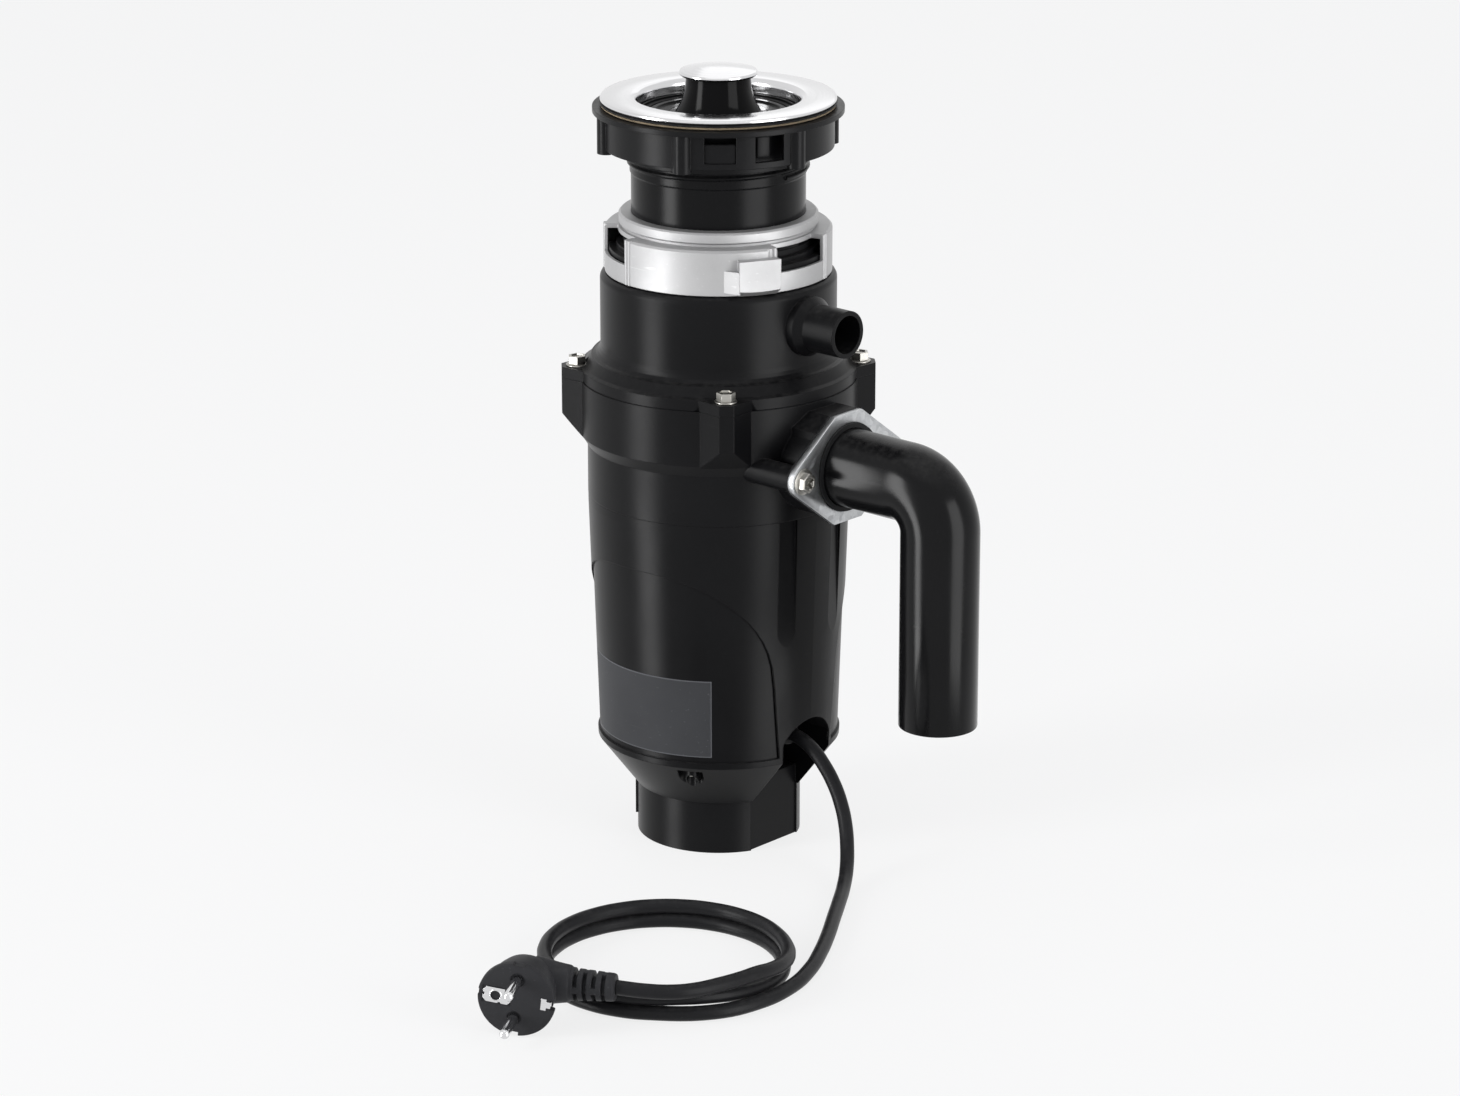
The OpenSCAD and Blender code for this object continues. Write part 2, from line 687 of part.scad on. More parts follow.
module hopper() color("#232427") difference() {
    union() {
        difference() {
            union() {
                hopper_outside();
                lugs(hopper_seam_z, rim_top_z);
            }
            hopper_inside();
        }
        difference() {
            inlet_along() {
                translate([0, 0, hopper_r - inlet_in])
                    cylinder(r = inlet_r, h = inlet_end_x - hopper_r + inlet_in);
                translate([0, 0, hopper_r - inlet_in])
                    cylinder(r = inlet_root_r, h = inlet_in + inlet_root_l);
                translate([0, 0, hopper_r + inlet_root_l])
                    cylinder(r1 = inlet_root_r, r2 = inlet_r, h = inlet_cone_l);
            }
            disc(hopper_r - 1.5, inlet_z - 20, inlet_z + 20);
        }
        for (i = [0 : ramps - 1]) rotate([0, 0, 120 * i])
            sector(ramp_r, neck_r - 1, ramp_half_turn, ramp_z, ramp_z + ramp_h);
    }
    inlet_along() translate([0, 0, hopper_r]) cylinder(r = inlet_bore_r, h = inlet_end_x);
    for (turn = lug_turns) rotate([0, 0, turn]) translate([bolt_circle_r, 0, 0]) {
        disc(bolt_r + gap, hopper_seam_z - 1, rim_top_z + 1);
        disc(bolt_flange_r + gap, rim_top_z, rim_top_z + 8);
    }
}

module grind_ring() color("#c9ccd0") difference() {
    tube(grind_ring_in_r + grind_ring_t, grind_ring_in_r, grind_ring_z + eps, hopper_seam_z - eps);
    for (i = [0 : ring_notches - 1]) rotate([0, 0, 360 * (i + 0.5) / ring_notches])
        translate([grind_ring_in_r - past, -notch_w / 2, grind_ring_z - past])
            cube([grind_ring_t + 3 * past, notch_w, notch_top + past]);
}

/* Sink mount: bayonet ring, sleeve, flange, gaskets and nut */

module cushion_ring() color("#161617")
    tube(sleeve_lip_r - 0.4, neck_r - neck_wall + 0.4, cushion_z, sleeve_low_z - eps);

module threaded_sleeve() color("#1c1c1e") rotate_extrude() polygon([[sleeve_in_r, sleeve_low_z],
    [sleeve_lip_r, sleeve_low_z], [sleeve_lip_r, sleeve_low_z + sleeve_lip_t],
    [sleeve_r, sleeve_low_z + sleeve_lip_t],
    [sleeve_r, thread_low_z - 1], [thread_r, thread_low_z], [thread_r, sleeve_top_z],
    [throat_r + 1.4, sleeve_top_z],
    [throat_r + 1.4, flange_tube_z], [sleeve_in_r, flange_tube_z], [sleeve_in_r, ledge_z + ledge_t],
    [ledge_in_r, ledge_z + ledge_t], [ledge_in_r, ledge_z], [sleeve_in_r, ledge_z - 2.6]]);

module sink_flange() color("#d9dadb") rotate_extrude() polygon(concat(
    [[throat_r, flange_tube_z + eps]],
    [for (a = [90 : -15 : 0]) [throat_r + flange_roll_w - flange_roll_w * sin(a),
        flange_under_z + flange_t - flange_roll_h + flange_roll_h * cos(a)]],
    [[flange_r - 1, flange_under_z + flange_t], [flange_r, flange_under_z + flange_t - 0.8],
        [flange_r, flange_under_z]],
    [for (a = [0 : 15 : 90]) [throat_r + flange_roll_w - (flange_roll_w - 1.2) * sin(a),
        flange_under_z + flange_t - flange_roll_h + (flange_roll_h - flange_t) * cos(a)]],
    [[throat_r + 1.2, flange_tube_z + eps]]));

module flange_gasket() color("#19191a")
    tube(flange_r - 0.6, thread_r + 2, fibre_top_z + eps, flange_under_z - eps);

module fibre_gasket() color("#b59a72") tube(fibre_r, thread_r + 1, nut_top_z + eps, fibre_top_z);

module nut_outside() {
    disc(nut_rim_r, nut_top_z - nut_rim_t, nut_top_z);
    disc(nut_r, nut_low_z, nut_top_z - nut_rim_t + eps);
    disc(nut_skirt_r, nut_low_z - nut_skirt_h, nut_low_z + eps);
    ring_at(nut_ribs, nut_rib_r - nut_rib_w / 2, nut_rib_turn)
        disc(nut_rib_w / 2, nut_low_z - 2, nut_top_z - nut_rim_t + eps);
}

module mounting_nut() color("#202124") difference() {
    nut_outside();
    disc(nut_bore_r, nut_low_z - nut_skirt_h - 1, nut_top_z + 1);
    tube(nut_r - nut_wall, nut_bore_r + nut_hub_wall, nut_low_z - nut_skirt_h - 1, nut_top_z - nut_rim_t);
    for (i = [0 : 2]) for (side = [-1, 1])
        rotate([0, 0, nut_rib_turn + nut_window_turn + 120 * i + side * nut_window_spread])
            translate([nut_r - 5, -nut_window_w / 2, nut_low_z + 3])
                cube([10, nut_window_w, nut_h - nut_rim_t - 4]);
}

module ring_profile() polygon([
    [sleeve_r + run, ring_plate_z], [ring_r, ring_plate_z], [ring_r, ring_plate_z + 1],
    [ring_r - ring_chamfer, ring_plate_z + ring_plate_t],
    [collar_r - collar_foot, ring_plate_z + ring_plate_t],
    [collar_r - collar_foot, ring_plate_z + ring_plate_t + ring_chamfer],
    [collar_r, ring_plate_z + ring_plate_t + 2], [collar_r, collar_top_z - collar_chamfer],
    [collar_r - collar_chamfer, collar_top_z], [sleeve_r + run, collar_top_z]]);

module mount_ring() color("#b4b6b9") {
    difference() {
        union() {
            rotate_extrude() ring_profile();
            tube(ring_r, ring_r - ring_wall, ring_low_z, ring_plate_z + eps);
            for (i = [0 : ramps - 1]) rotate([0, 0, 120 * i]) {
                sector(ring_r - ring_wall + eps, neck_r + gap, ramp_half_turn - 4, ramp_z - 4, ramp_z - gap);
                for (side = [-1, 1]) for (turn = bead_turns) rotate([0, 0, side * turn])
                    translate([ring_r - bead_r / 2, 0, 0])
                        disc(bead_r, ring_low_z, ring_plate_z + ring_plate_t);
            }
            grip_tab();
            grip_gusset();
        }
        for (i = [0 : ramps - 1]) rotate([0, 0, 120 * i]) {
            sector(ring_r + past, ramp_r + gap, window_half_turn, ring_band_z + 1, ring_plate_z + past);
            sector(ring_r + past, collar_r + gap, window_half_turn, ring_plate_z - past,
                ring_plate_z + ring_plate_t + past);
        }
    }
}

module grip_tab() rotate([0, 0, grip_turn]) {
    intersection() {
        rotate([0, 0, -grip_half_turn]) rotate_extrude(angle = 2 * grip_half_turn)
            polygon([[ring_r - 1, ring_low_z], [ring_r + 1, ring_low_z], [grip_r + 2, ring_low_z + 4],
                [grip_r + 2, ring_low_z + grip_h], [ring_r - 1, ring_low_z + grip_h]]);
        translate([ring_r - 5, -20, ring_low_z]) cube([grip_r - ring_r + 5, 40, 20]);
    }
}

// Web that carries one side of the grip tab
module grip_gusset() rotate([0, 0, grip_turn - grip_half_turn]) translate([0, 0, gusset_low_z])
    linear_extrude(height = gusset_h) polygon([[ring_r - ring_wall / 2, 0.5], [grip_r, 0.5], [grip_r, 0],
        [ring_r * cos(gusset_turn), -ring_r * sin(gusset_turn)],
        [(ring_r - ring_wall / 2) * cos(gusset_turn), -(ring_r - ring_wall / 2) * sin(gusset_turn)]]);

/* Splash guard and stopper */

module splash_guard() color("#131314") difference() {
    rotate_extrude() polygon([[guard_throat_r - 2, guard_flange_z], [guard_r, guard_flange_z],
        [guard_r, guard_flange_z + 8], [guard_r - guard_lip_t, guard_flange_z + 8],
        [guard_r - guard_lip_t, guard_flange_z + guard_flange_t],
        [guard_throat_r - 2.6, guard_flange_z + guard_flange_t],
        [guard_tip_r, guard_flange_z - guard_depth + 3], [guard_tip_r, guard_flange_z - guard_depth],
        [guard_throat_r - 3, guard_flange_z - 3]]);
    for (i = [0 : guard_flaps - 1]) rotate([0, 0, 360 * i / guard_flaps])
        translate([guard_tip_r - 2, -0.6, guard_flange_z - guard_depth - 1]) cube([16, 1.2, guard_depth]);
}

module stopper_body() color("#1b1b1d") rotate_extrude() polygon(concat(
    [[0, stopper_foot_z], [stopper_disc_r, stopper_foot_z],
        [stopper_disc_r, stopper_foot_z + stopper_disc_t]],
    [for (t = [0 : 0.125 : 1]) [stem_r + stem_foot * pow(1 - t, stem_power) + stem_head * t,
        stopper_foot_z + stopper_disc_t + (knob_low_z - stopper_foot_z - stopper_disc_t) * t]],
    [[0, knob_low_z]]));

module stopper_seal() color("#121213")
    tube(stopper_seal_r, stopper_disc_r + eps, stopper_z, stopper_z + stopper_disc_t + 0.8);

module stopper_cap() color("#d8dadc") rotate_extrude() polygon(concat(
    [[0, knob_low_z + eps], [knob_r - 1, knob_low_z + eps]],
    [for (a = [-60 : 30 : 60]) [knob_r - knob_lip_r + knob_lip_r * cos(a),
        knob_low_z + knob_lip_r + knob_lip_r * sin(a)]],
    [for (t = [0.85 : -0.17 : 0]) [(knob_r - 1) * t,
        knob_low_z + knob_dome_z + (knob_t - knob_dome_z) * (1 - t * t)]],
    [[0, knob_top_z]]));

/* Discharge: gasket, flange plate, screws, pipe seal and elbow */

module plate_outline() difference() {
    hull() {
        for (side = [-1, 1]) translate([side * (plate_half_w - plate_tip_r), outlet_z])
            circle(r = plate_tip_r, $fn = 32);
        translate([-port_crest_half_w, plate_low_z])
            square([2 * port_crest_half_w, plate_top_z - plate_low_z]);
    }
    translate([0, outlet_z]) circle(r = seal_ring_r + snug);
    for (side = [-1, 1]) translate([side * plate_screw_y, outlet_z]) circle(r = discharge_screw_r + 0.3);
}

module plate_at(x, t) translate([x, 0, 0]) rotate([90, 0, 90]) linear_extrude(height = t) plate_outline();

module discharge_gasket() color("#1a1a1b") plate_at(pad_x + eps, gasket_t - 2 * eps);

module discharge_flange() color("#b6babd") plate_at(plate_x, plate_t);

module discharge_screws() color("#c2c5c8") for (side = [-1, 1]) translate([0, side * plate_screw_y, 0]) {
    along_x(pad_x - plate_screw_l)
        cylinder(r = discharge_screw_r, h = plate_x + plate_t - pad_x + plate_screw_l + 0.5);
    along_x(plate_x + plate_t + eps) cylinder(r = washer_r, h = washer_t);
    along_x(plate_x + plate_t + washer_t - hex_head_dip) cylinder(r = hex_head_r, h = hex_head_h, $fn = 6);
}

module pipe_seal() color("#131314") difference() {
    along_x(pad_x + eps) cylinder(r = seal_ring_r, h = gasket_t + plate_t + 1);
    along_x(pad_x - 1) cylinder(r = pipe_r + gap, h = gasket_t + plate_t + 4);
}

module pipe_run(r, reach) {
    along_x(pad_x - collar_disc_t - reach)
        cylinder(r = r, h = pipe_drop_x - bend_r - pad_x + collar_disc_t + reach);
    translate([pipe_drop_x - bend_r, 0, outlet_z - bend_r]) rotate([90, 0, 0])
        rotate_extrude(angle = 90) translate([bend_r, 0]) circle(r = r);
    translate([pipe_drop_x, 0, pipe_end_z - reach])
        cylinder(r = r, h = outlet_z - bend_r - pipe_end_z + reach);
}

module discharge_elbow() color("#1d1e20") difference() {
    union() {
        pipe_run(pipe_r, 0);
        along_x(pad_x - collar_disc_t) cylinder(r = collar_disc_r, h = collar_disc_t - gap);
    }
    pipe_run(outlet_bore_r, 1);
}

/* Motor: frames, bearings, can, magnets and brush gear */

module upper_end_frame() color("#9fa2a6") difference() {
    union() {
        disc(frame_top_r, can_top_z + eps, can_top_z + frame_top_t);
        disc(hub_r, can_top_z + eps, hub_top_z);
        ring_at(4, frame_post_at, 45) disc(frame_post_r, can_top_z + eps, seam_z - eps);
    }
    disc(bearing_r, can_top_z - 1, can_top_z + bearing_h);
    disc(shaft_r + 1, can_top_z, hub_top_z + 1);
    disc(seal_cup_r, hub_top_z - 8, hub_top_z + 1);
    ring_at(4, frame_post_at, 45) {
        disc(small_screw_r + 0.3, can_top_z - 1, seam_z + 1);
        disc(small_head_r + 0.4, can_top_z - 1, can_top_z + frame_screw_h);
    }
    ring_at(4, frame_hole_at, 0) disc(frame_hole_r, can_top_z - 1, can_top_z + frame_top_t + 1);
}

module end_frame_screws() color("#b9bcc0") ring_at(4, frame_post_at, 45) {
    disc(small_head_r, can_top_z + 0.6, can_top_z + frame_screw_h - eps);
    disc(small_screw_r, can_top_z + 1, floor_top_z - 2);
}

module shaft_seal() color("#131314") tube(seal_cup_r - snug, shaft_r + run, hub_top_z - 8 + eps, hub_top_z);

module bearing(ro, ri, z0, h) {
    tube(ro, ro - outer_race_t, z0, z0 + h);
    tube(ri + inner_race_t, ri, z0, z0 + h);
    tube(ro - outer_race_t + eps, ri + inner_race_t - eps, z0 + 1, z0 + h - 1);
}

module upper_bearing() color("#c7cacd")
    bearing(bearing_r - run / 2, shaft_r + run / 2, can_top_z + gap, bearing_h - gap - eps);

module motor_can() color("#8c9094") tube(can_r, can_r - can_wall, can_low_z, can_top_z);

module field_magnets() color("#3c3c40") for (turn = [0, 180]) rotate([0, 0, turn])
    sector(can_r - can_wall - run, can_r - can_wall - magnet_t, magnet_half_turn,
        core_low_z - 3, core_top_z + 3);

module lower_end_frame() color("#9fa2a6") difference() {
    union() {
        disc(can_r, can_low_z - lower_frame_t, can_low_z - eps);
        disc(lower_hub_r, lower_hub_z, can_low_z - eps);
        ring_at(3, 0, shell_screw_turn)
            translate([can_r - lower_arm_in, -lower_arm_w / 2, can_low_z - lower_frame_t])
                cube([shell_screw_r - can_r + lower_arm_in, lower_arm_w, lower_frame_t - eps]);
        ring_at(3, shell_screw_r, shell_screw_turn) disc(ear_r, lower_ear_z, can_low_z - eps);
    }
    disc(lower_bearing_r, lower_hub_z + 2, can_low_z - 1.5);
    disc(shaft_r + 1, lower_hub_z - 1, can_low_z + 1);
    ring_at(3, shell_screw_r, shell_screw_turn)
        disc(small_screw_r + run, lower_ear_z - 1, lower_ear_z + lower_frame_t + 1);
    ring_at(3, lower_hole_at, shell_screw_turn + 60)
        disc(lower_hole_r, can_low_z - lower_frame_t - 1, can_low_z + 1);
}

module lower_bearing() color("#c7cacd")
    bearing(lower_bearing_r - run / 2, shaft_r + run / 2, lower_hub_z + 2 + eps, lower_bearing_h);

module brush_holders() color("#c8a24a") for (turn = [0, 180]) rotate([0, 0, turn]) difference() {
    translate([commutator_r + 1.5, -brush_w / 2 - holder_wall - run, can_low_z])
        cube([holder_l, brush_w + 2 * (holder_wall + run),
            brush_z - can_low_z + brush_w + holder_wall + run]);
    translate([commutator_r, -brush_w / 2 - run, brush_z - run])
        cube([holder_l, brush_w + 2 * run, brush_w + 2 * run]);
}

module brushes() color("#2b2b2d") for (turn = [0, 180]) rotate([0, 0, turn])
    translate([commutator_r + run, -brush_w / 2, brush_z]) cube([brush_l, brush_w, brush_w]);

module brush_springs() color("#a9adb1") for (turn = [0, 180]) rotate([0, 0, turn])
    translate([commutator_r + run + brush_l + eps, 0, brush_z + brush_w / 2])
        rotate([0, 90, 0]) difference() {
        cylinder(r = brush_w / 2 - 0.3, h = spring_l);
        translate([0, 0, -1]) cylinder(r = brush_w / 2 - 1.1, h = spring_l + 2);
    }

/* Electrical pieces on the bottom cover */

module overload_protector() color("#7a2f22") translate([0, reset_y, 0]) difference() {
    translate([-protector_l / 2, -protector_w / 2, cover_t + eps])
        cube([protector_l, protector_w, protector_h]);
    disc(reset_r + gap, cover_t - 1, cover_t + 6);
}

module rectifier() color("#2d3a2f") {
    translate([-rectifier_l / 2, rectifier_y, cover_t + eps]) cube([rectifier_l, rectifier_w, rectifier_h]);
    translate([-heat_sink_l / 2, heat_sink_y, cover_t + rectifier_h])
        cube([heat_sink_l, heat_sink_w, heat_sink_h]);
}

module reset_button() color("#b3241c") translate([0, reset_y, 0]) {
    disc(reset_r, 0.8, cover_t + 3);
}

/* Rotor: shaft, core, windings, commutator, turntable and impellers */

module shaft() color("#b0b4b8") {
    disc(shaft_r, shaft_low_z + 1, turntable_z - 1);
    disc(shaft_r - 1, turntable_z - 1.1, shaft_top_z);
}

module in_core_slots(clear) for (i = [0 : core_slots - 1]) rotate([0, 0, 360 * i / core_slots])
    translate([core_r - slot_depth + clear, -slot_w / 2 + clear, 0]) children();

module rotor_core() color("#6d7074") difference() {
    tube(core_r, shaft_r + eps, core_low_z, core_top_z);
    in_core_slots(0) translate([0, 0, core_low_z - 1])
        cube([slot_depth + 2, slot_w, core_top_z - core_low_z + 2]);
}

module windings() color("#b5622b") {
    in_core_slots(snug) translate([0, 0, core_low_z - winding_overhang + 1])
        cube([slot_depth - 2.6, slot_w - 2 * snug, core_top_z - core_low_z + 2 * winding_overhang - 2]);
    for (z = [core_low_z - winding_overhang, core_top_z + 0.1])
        tube(winding_r, commutator_r + 3, z, z + winding_overhang - 0.1);
}

module commutator() color("#c07a3e") difference() {
    tube(commutator_r, shaft_r + eps, commutator_z, commutator_z + commutator_h);
    for (i = [0 : core_slots - 1]) rotate([0, 0, 360 * i / core_slots])
        translate([commutator_r - 1.2, -0.4, commutator_z - 1]) cube([3, 0.8, commutator_h + 2]);
}

module turntable() color("#c4c7ca") difference() {
    union() {
        disc(turntable_r, turntable_z, turntable_z + turntable_t);
        disc(11, turntable_z - 6, turntable_z + turntable_t + 2);
        tube(turntable_r, turntable_r - 2, turntable_z - 3, turntable_z + eps);
    }
    disc(shaft_r + eps, turntable_z - 7, turntable_z - 1);
    disc(shaft_r - 1 + eps, turntable_z - 2, turntable_z + turntable_t + 3);
    ring_at(2, pivot_r, 0) disc(pin_r + eps, turntable_z - 4, turntable_z + turntable_t + 1);
    ring_at(8, turntable_r - 10, 22.5) disc(3, turntable_z - 4, turntable_z + turntable_t + 1);
}

module turntable_nut() color("#d0d2d4") difference() {
    translate([0, 0, turntable_z + turntable_t + 2 + eps]) cylinder(r = 10, h = 7, $fn = 6);
    disc(shaft_r - 1 + run, turntable_z + turntable_t, shaft_top_z);
}

module impeller_pins() color("#d0d2d4") ring_at(2, pivot_r, 0) {
    disc(pin_r, turntable_z - 1, pin_top_z - 1);
    disc(pin_r + 2, pin_top_z - 1 - eps, pin_top_z + 0.8);
    disc(pin_r + 2, turntable_z - 2.5, turntable_z - eps);
}

module impeller(turn) rotate([0, 0, turn])
    translate([pivot_r, 0, turntable_z + turntable_t + gap]) difference() {
        union() {
            cylinder(r = arm_half_w + 1, h = arm_t + 3);
            translate([0, -arm_half_w, 0]) cube([arm_l - 3, 2 * arm_half_w, arm_t]);
            translate([arm_l - 7, -arm_half_w, 0]) cube([6, 2 * arm_half_w, 11]);
        }
        translate([0, 0, -1]) cylinder(r = pin_r + run, h = arm_t + 6);
    }

module impeller_a() color("#cfd2d5") impeller(0);

module impeller_b() color("#cfd2d5") impeller(180);

/* Supply cord */

module cord_gland() color("#17171a")
    translate([arch_back_x - shell_wall - 2, 0, arch_side_z]) rotate([0, 90, 0]) {
        cylinder(r = relief_low_r + 2, h = 2 - eps);
        cylinder(r = relief_low_r, h = 7);
        translate([0, 0, 7 - eps]) cylinder(r1 = relief_low_r, r2 = relief_end_r, h = gland_l);
    }

function spline(p, i, t) = let (a = p[max(i - 1, 0)], b = p[i], c = p[i + 1], d = p[min(i + 2, len(p) - 1)])
    0.5 * (2 * b + (c - a) * t + (2 * a - 5 * b + 4 * c - d) * t * t + (3 * b - a - 3 * c + d) * t * t * t);

function route(p) = concat([for (i = [0 : len(p) - 2])
    for (s = [0 : ring_steps - 1]) spline(p, i, s / ring_steps)],
    [p[len(p) - 1]]);

function unit(v) = v / norm(v);

module sweep(p, r) {
    path = route(p);
    last = len(path) - 1;
    rings = [for (i = [0 : last]) let (d = unit(path[min(i + 1, last)] - path[max(i - 1, 0)]),
        side = unit(cross(d, [0, 0, 1])), up = cross(side, d))
        for (k = [0 : cord_sides - 1]) path[i]
            + r * (cos(360 * k / cord_sides) * side + sin(360 * k / cord_sides) * up)];
    walls = [for (i = [0 : last - 1]) for (k = [0 : cord_sides - 1])
        let (n = (k + 1) % cord_sides, b = i * cord_sides)
        [b + k, b + n, b + cord_sides + n, b + cord_sides + k]];
    caps = [[for (k = [cord_sides - 1 : -1 : 0]) k], [for (k = [0 : cord_sides - 1]) last * cord_sides + k]];
    polyhedron(points = rings, faces = concat(walls, caps));
}

module cord_lead() color("#1a1a1c") sweep(lead_points, cord_r);

module cord_tail() color("#1a1a1c") sweep(tail_points, cord_r);

module cord_coil() color("#1a1a1c") translate([coil_x, coil_y, 0])
    tube(coil_r + coil_band, coil_r - coil_band, 0, coil_h);

module plug_place() translate(plug_centre) rotate([0, plug_tilt, plug_turn - 90]) children();

// Along local +X the face looks out, and local +Y points to the cord
module plug_body() color("#303032") plug_place() {
    rotate([0, -90, 0]) rotate_extrude() polygon([
        [0, 0], [plug_disc_r - 1, 0], [plug_disc_r, 1], [plug_disc_r, 4],
        [plug_disc_r - 1.5, 5.5], [plug_disc_r - 2.5, 12], [plug_disc_r - 4, 19], [plug_disc_r - 7, 25],
        [plug_disc_r - 10.5, plug_depth], [0, plug_depth]]);
    translate([-relief_back, 0, 0]) rotate([-90, 0, 0])
        cylinder(r1 = relief_low_r + 2.5, r2 = relief_low_r + 1, h = relief_at);
    translate([-relief_back, relief_at - 1, 0]) rotate([-90, 0, 0]) difference() {
        cylinder(r1 = relief_low_r, r2 = relief_end_r, h = relief_l + 1);
        for (i = [1 : relief_slots]) for (side = [0, 180]) rotate([0, 0, side])
            translate([relief_core / 2, -relief_low_r,
                1 + (i * (relief_l + relief_slot_w)) / (relief_slots + 1) - relief_slot_w])
                cube([relief_low_r, 2 * relief_low_r, relief_slot_w]);
    }
}

module plug_pins() color("#c9ccce") plug_place() for (side = [-1, 1])
    translate([eps, 0, side * 9.5]) rotate([0, 90, 0]) cylinder(r = 2.4, h = 19);

module plug_earth_contact() color("#d2d4d6") plug_place() {
    translate([eps, -15, -4]) cube([0.6, 10, 8]);
    translate([eps, 16, -3]) cube([0.6, 2.4, 6]);
}

motor_housing();
bottom_cover();
bottom_cover_screws();
housing_screws();
grind_housing();
hopper();
lug_bolts();
housing_seal();
grind_ring();
upper_end_frame();
end_frame_screws();
shaft_seal();
upper_bearing();
motor_can();
field_magnets();
lower_bearing();
lower_end_frame();
brush_holders();
brushes();
brush_springs();
overload_protector();
rectifier();
cord_gland();
cord_lead();
cord_coil();
cord_tail();
plug_body();
plug_pins();
plug_earth_contact();
sink_flange();
flange_gasket();
threaded_sleeve();
splash_guard();
cushion_ring();
discharge_gasket();
discharge_flange();
discharge_screws();
pipe_seal();
discharge_elbow();
stopper_cap();
stopper_body();
stopper_seal();
fibre_gasket();
mounting_nut();
mount_ring();
shaft();
rotor_core();
windings();
commutator();
turntable();
turntable_nut();
impeller_pins();
impeller_a();
impeller_b();
reset_button();
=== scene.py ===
import json
import math

import bmesh
import bpy
from bpy.props import FloatProperty, FloatVectorProperty, PointerProperty
from mathutils import Matrix, Vector

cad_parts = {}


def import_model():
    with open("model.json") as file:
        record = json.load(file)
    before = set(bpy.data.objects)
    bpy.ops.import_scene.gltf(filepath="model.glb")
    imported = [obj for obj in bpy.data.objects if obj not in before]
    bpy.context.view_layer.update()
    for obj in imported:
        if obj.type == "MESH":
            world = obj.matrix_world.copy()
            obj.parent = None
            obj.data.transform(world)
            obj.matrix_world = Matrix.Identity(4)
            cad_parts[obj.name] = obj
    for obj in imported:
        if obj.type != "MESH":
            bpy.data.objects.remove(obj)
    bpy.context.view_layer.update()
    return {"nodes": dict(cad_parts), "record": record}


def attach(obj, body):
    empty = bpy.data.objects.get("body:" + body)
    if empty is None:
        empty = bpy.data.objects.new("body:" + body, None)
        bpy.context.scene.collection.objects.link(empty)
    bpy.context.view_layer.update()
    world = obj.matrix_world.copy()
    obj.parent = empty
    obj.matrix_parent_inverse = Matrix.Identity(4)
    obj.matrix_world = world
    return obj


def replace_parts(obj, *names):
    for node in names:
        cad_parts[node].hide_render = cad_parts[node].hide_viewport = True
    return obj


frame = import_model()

bl_info = {
    "name": "Food Waste Disposer",
    "version": (1, 0, 0),
    "blender": (4, 5, 0),
    "location": "View3D > Sidebar > Disposer",
    "description": "Dresses the frame of a food waste disposer with detailed pieces and finishes",
    "category": "Object",
}

MM = 0.001


# Sizes and colours that a user would change


def measure(name, description, default, **limits):
    return FloatProperty(name=name, description=description, default=default, unit="LENGTH", **limits)


def tint(name, description, default):
    return FloatVectorProperty(name=name, description=description, default=default, subtype="COLOR",
                               min=0, max=1)


class DisposerSizes(bpy.types.PropertyGroup):
    edge: measure("Edge radius", "Rounding of the moulded edges", 0.7 * MM, min=0.1 * MM, max=1.2 * MM)
    fine_edge: measure("Fine edge radius", "Rounding of turned metal", 0.25 * MM,
                       min=0.05 * MM, max=0.5 * MM)
    cord_width: measure("Cord diameter", "Diameter of the supply cord", 7 * MM)
    thread_pitch: measure("Thread pitch", "Rise of the sleeve's thread in one turn", 3.5 * MM,
                          min=2.5 * MM, max=5 * MM)
    spangle: measure("Spangle size", "Size of the zinc crystals on the sheet metal", 3.5 * MM)
    grain: measure("Moulding grain", "Size of the fine grain of the black mouldings", 0.45 * MM)


class DisposerColours(bpy.types.PropertyGroup):
    moulding: tint("Mouldings", "Black of the housings and the hopper", (0.0045, 0.0045, 0.005))
    plate: tint("Rating plate", "Grey of the bare plate on the housing", (0.043, 0.044, 0.047))
    sheath: tint("Cord sheath", "Black of the supply cord", (0.013, 0.013, 0.014))
    plug: tint("Plug", "Grey of the moulded plug", (0.028, 0.028, 0.03))
    steel: tint("Stainless steel", "Tone of the sink flange and the grinder", (0.66, 0.66, 0.67))
    casting: tint("Castings", "Tone of the die-cast ring and the end frames", (0.42, 0.42, 0.425))
    zinc: tint("Zinc plating", "Tone of the bolts and the screws", (0.38, 0.37, 0.345))
    fibre: tint("Fibre", "Tan of the fibre gasket", (0.24, 0.19, 0.125))


def sizes():
    return bpy.context.scene.disposer_sizes


def colours():
    return bpy.context.scene.disposer_colours


# Shader nodes and the node groups that several finishes share


def add_node(tree, kind, inputs=None, **settings):
    """A shader node with its settings, and its inputs given as numbers or as sockets."""
    made = tree.nodes.new(kind)
    for name, value in settings.items():
        setattr(made, name, value)
    for name, value in (inputs or {}).items():
        if isinstance(value, bpy.types.NodeSocket):
            tree.links.new(value, made.inputs[name])
        else:
            made.inputs[name].default_value = value
    return made


def maths(tree, operation, a, b=0.0):
    return add_node(tree, "ShaderNodeMath", {0: a, 1: b}, operation=operation).outputs[0]


def ranged(tree, value, low, high, to_low=0.0, to_high=1.0):
    """A value carried from one range to another and kept inside it."""
    made = add_node(tree, "ShaderNodeMapRange", {"Value": value, "From Min": low, "From Max": high,
                                                 "To Min": to_low, "To Max": to_high})
    return made.outputs["Result"]


def noise(tree, vector, scale, detail, **inputs):
    """The outputs of a noise texture."""
    inputs = {"Vector": vector, "Scale": scale, "Detail": detail, **inputs}
    return add_node(tree, "ShaderNodeTexNoise", inputs).outputs


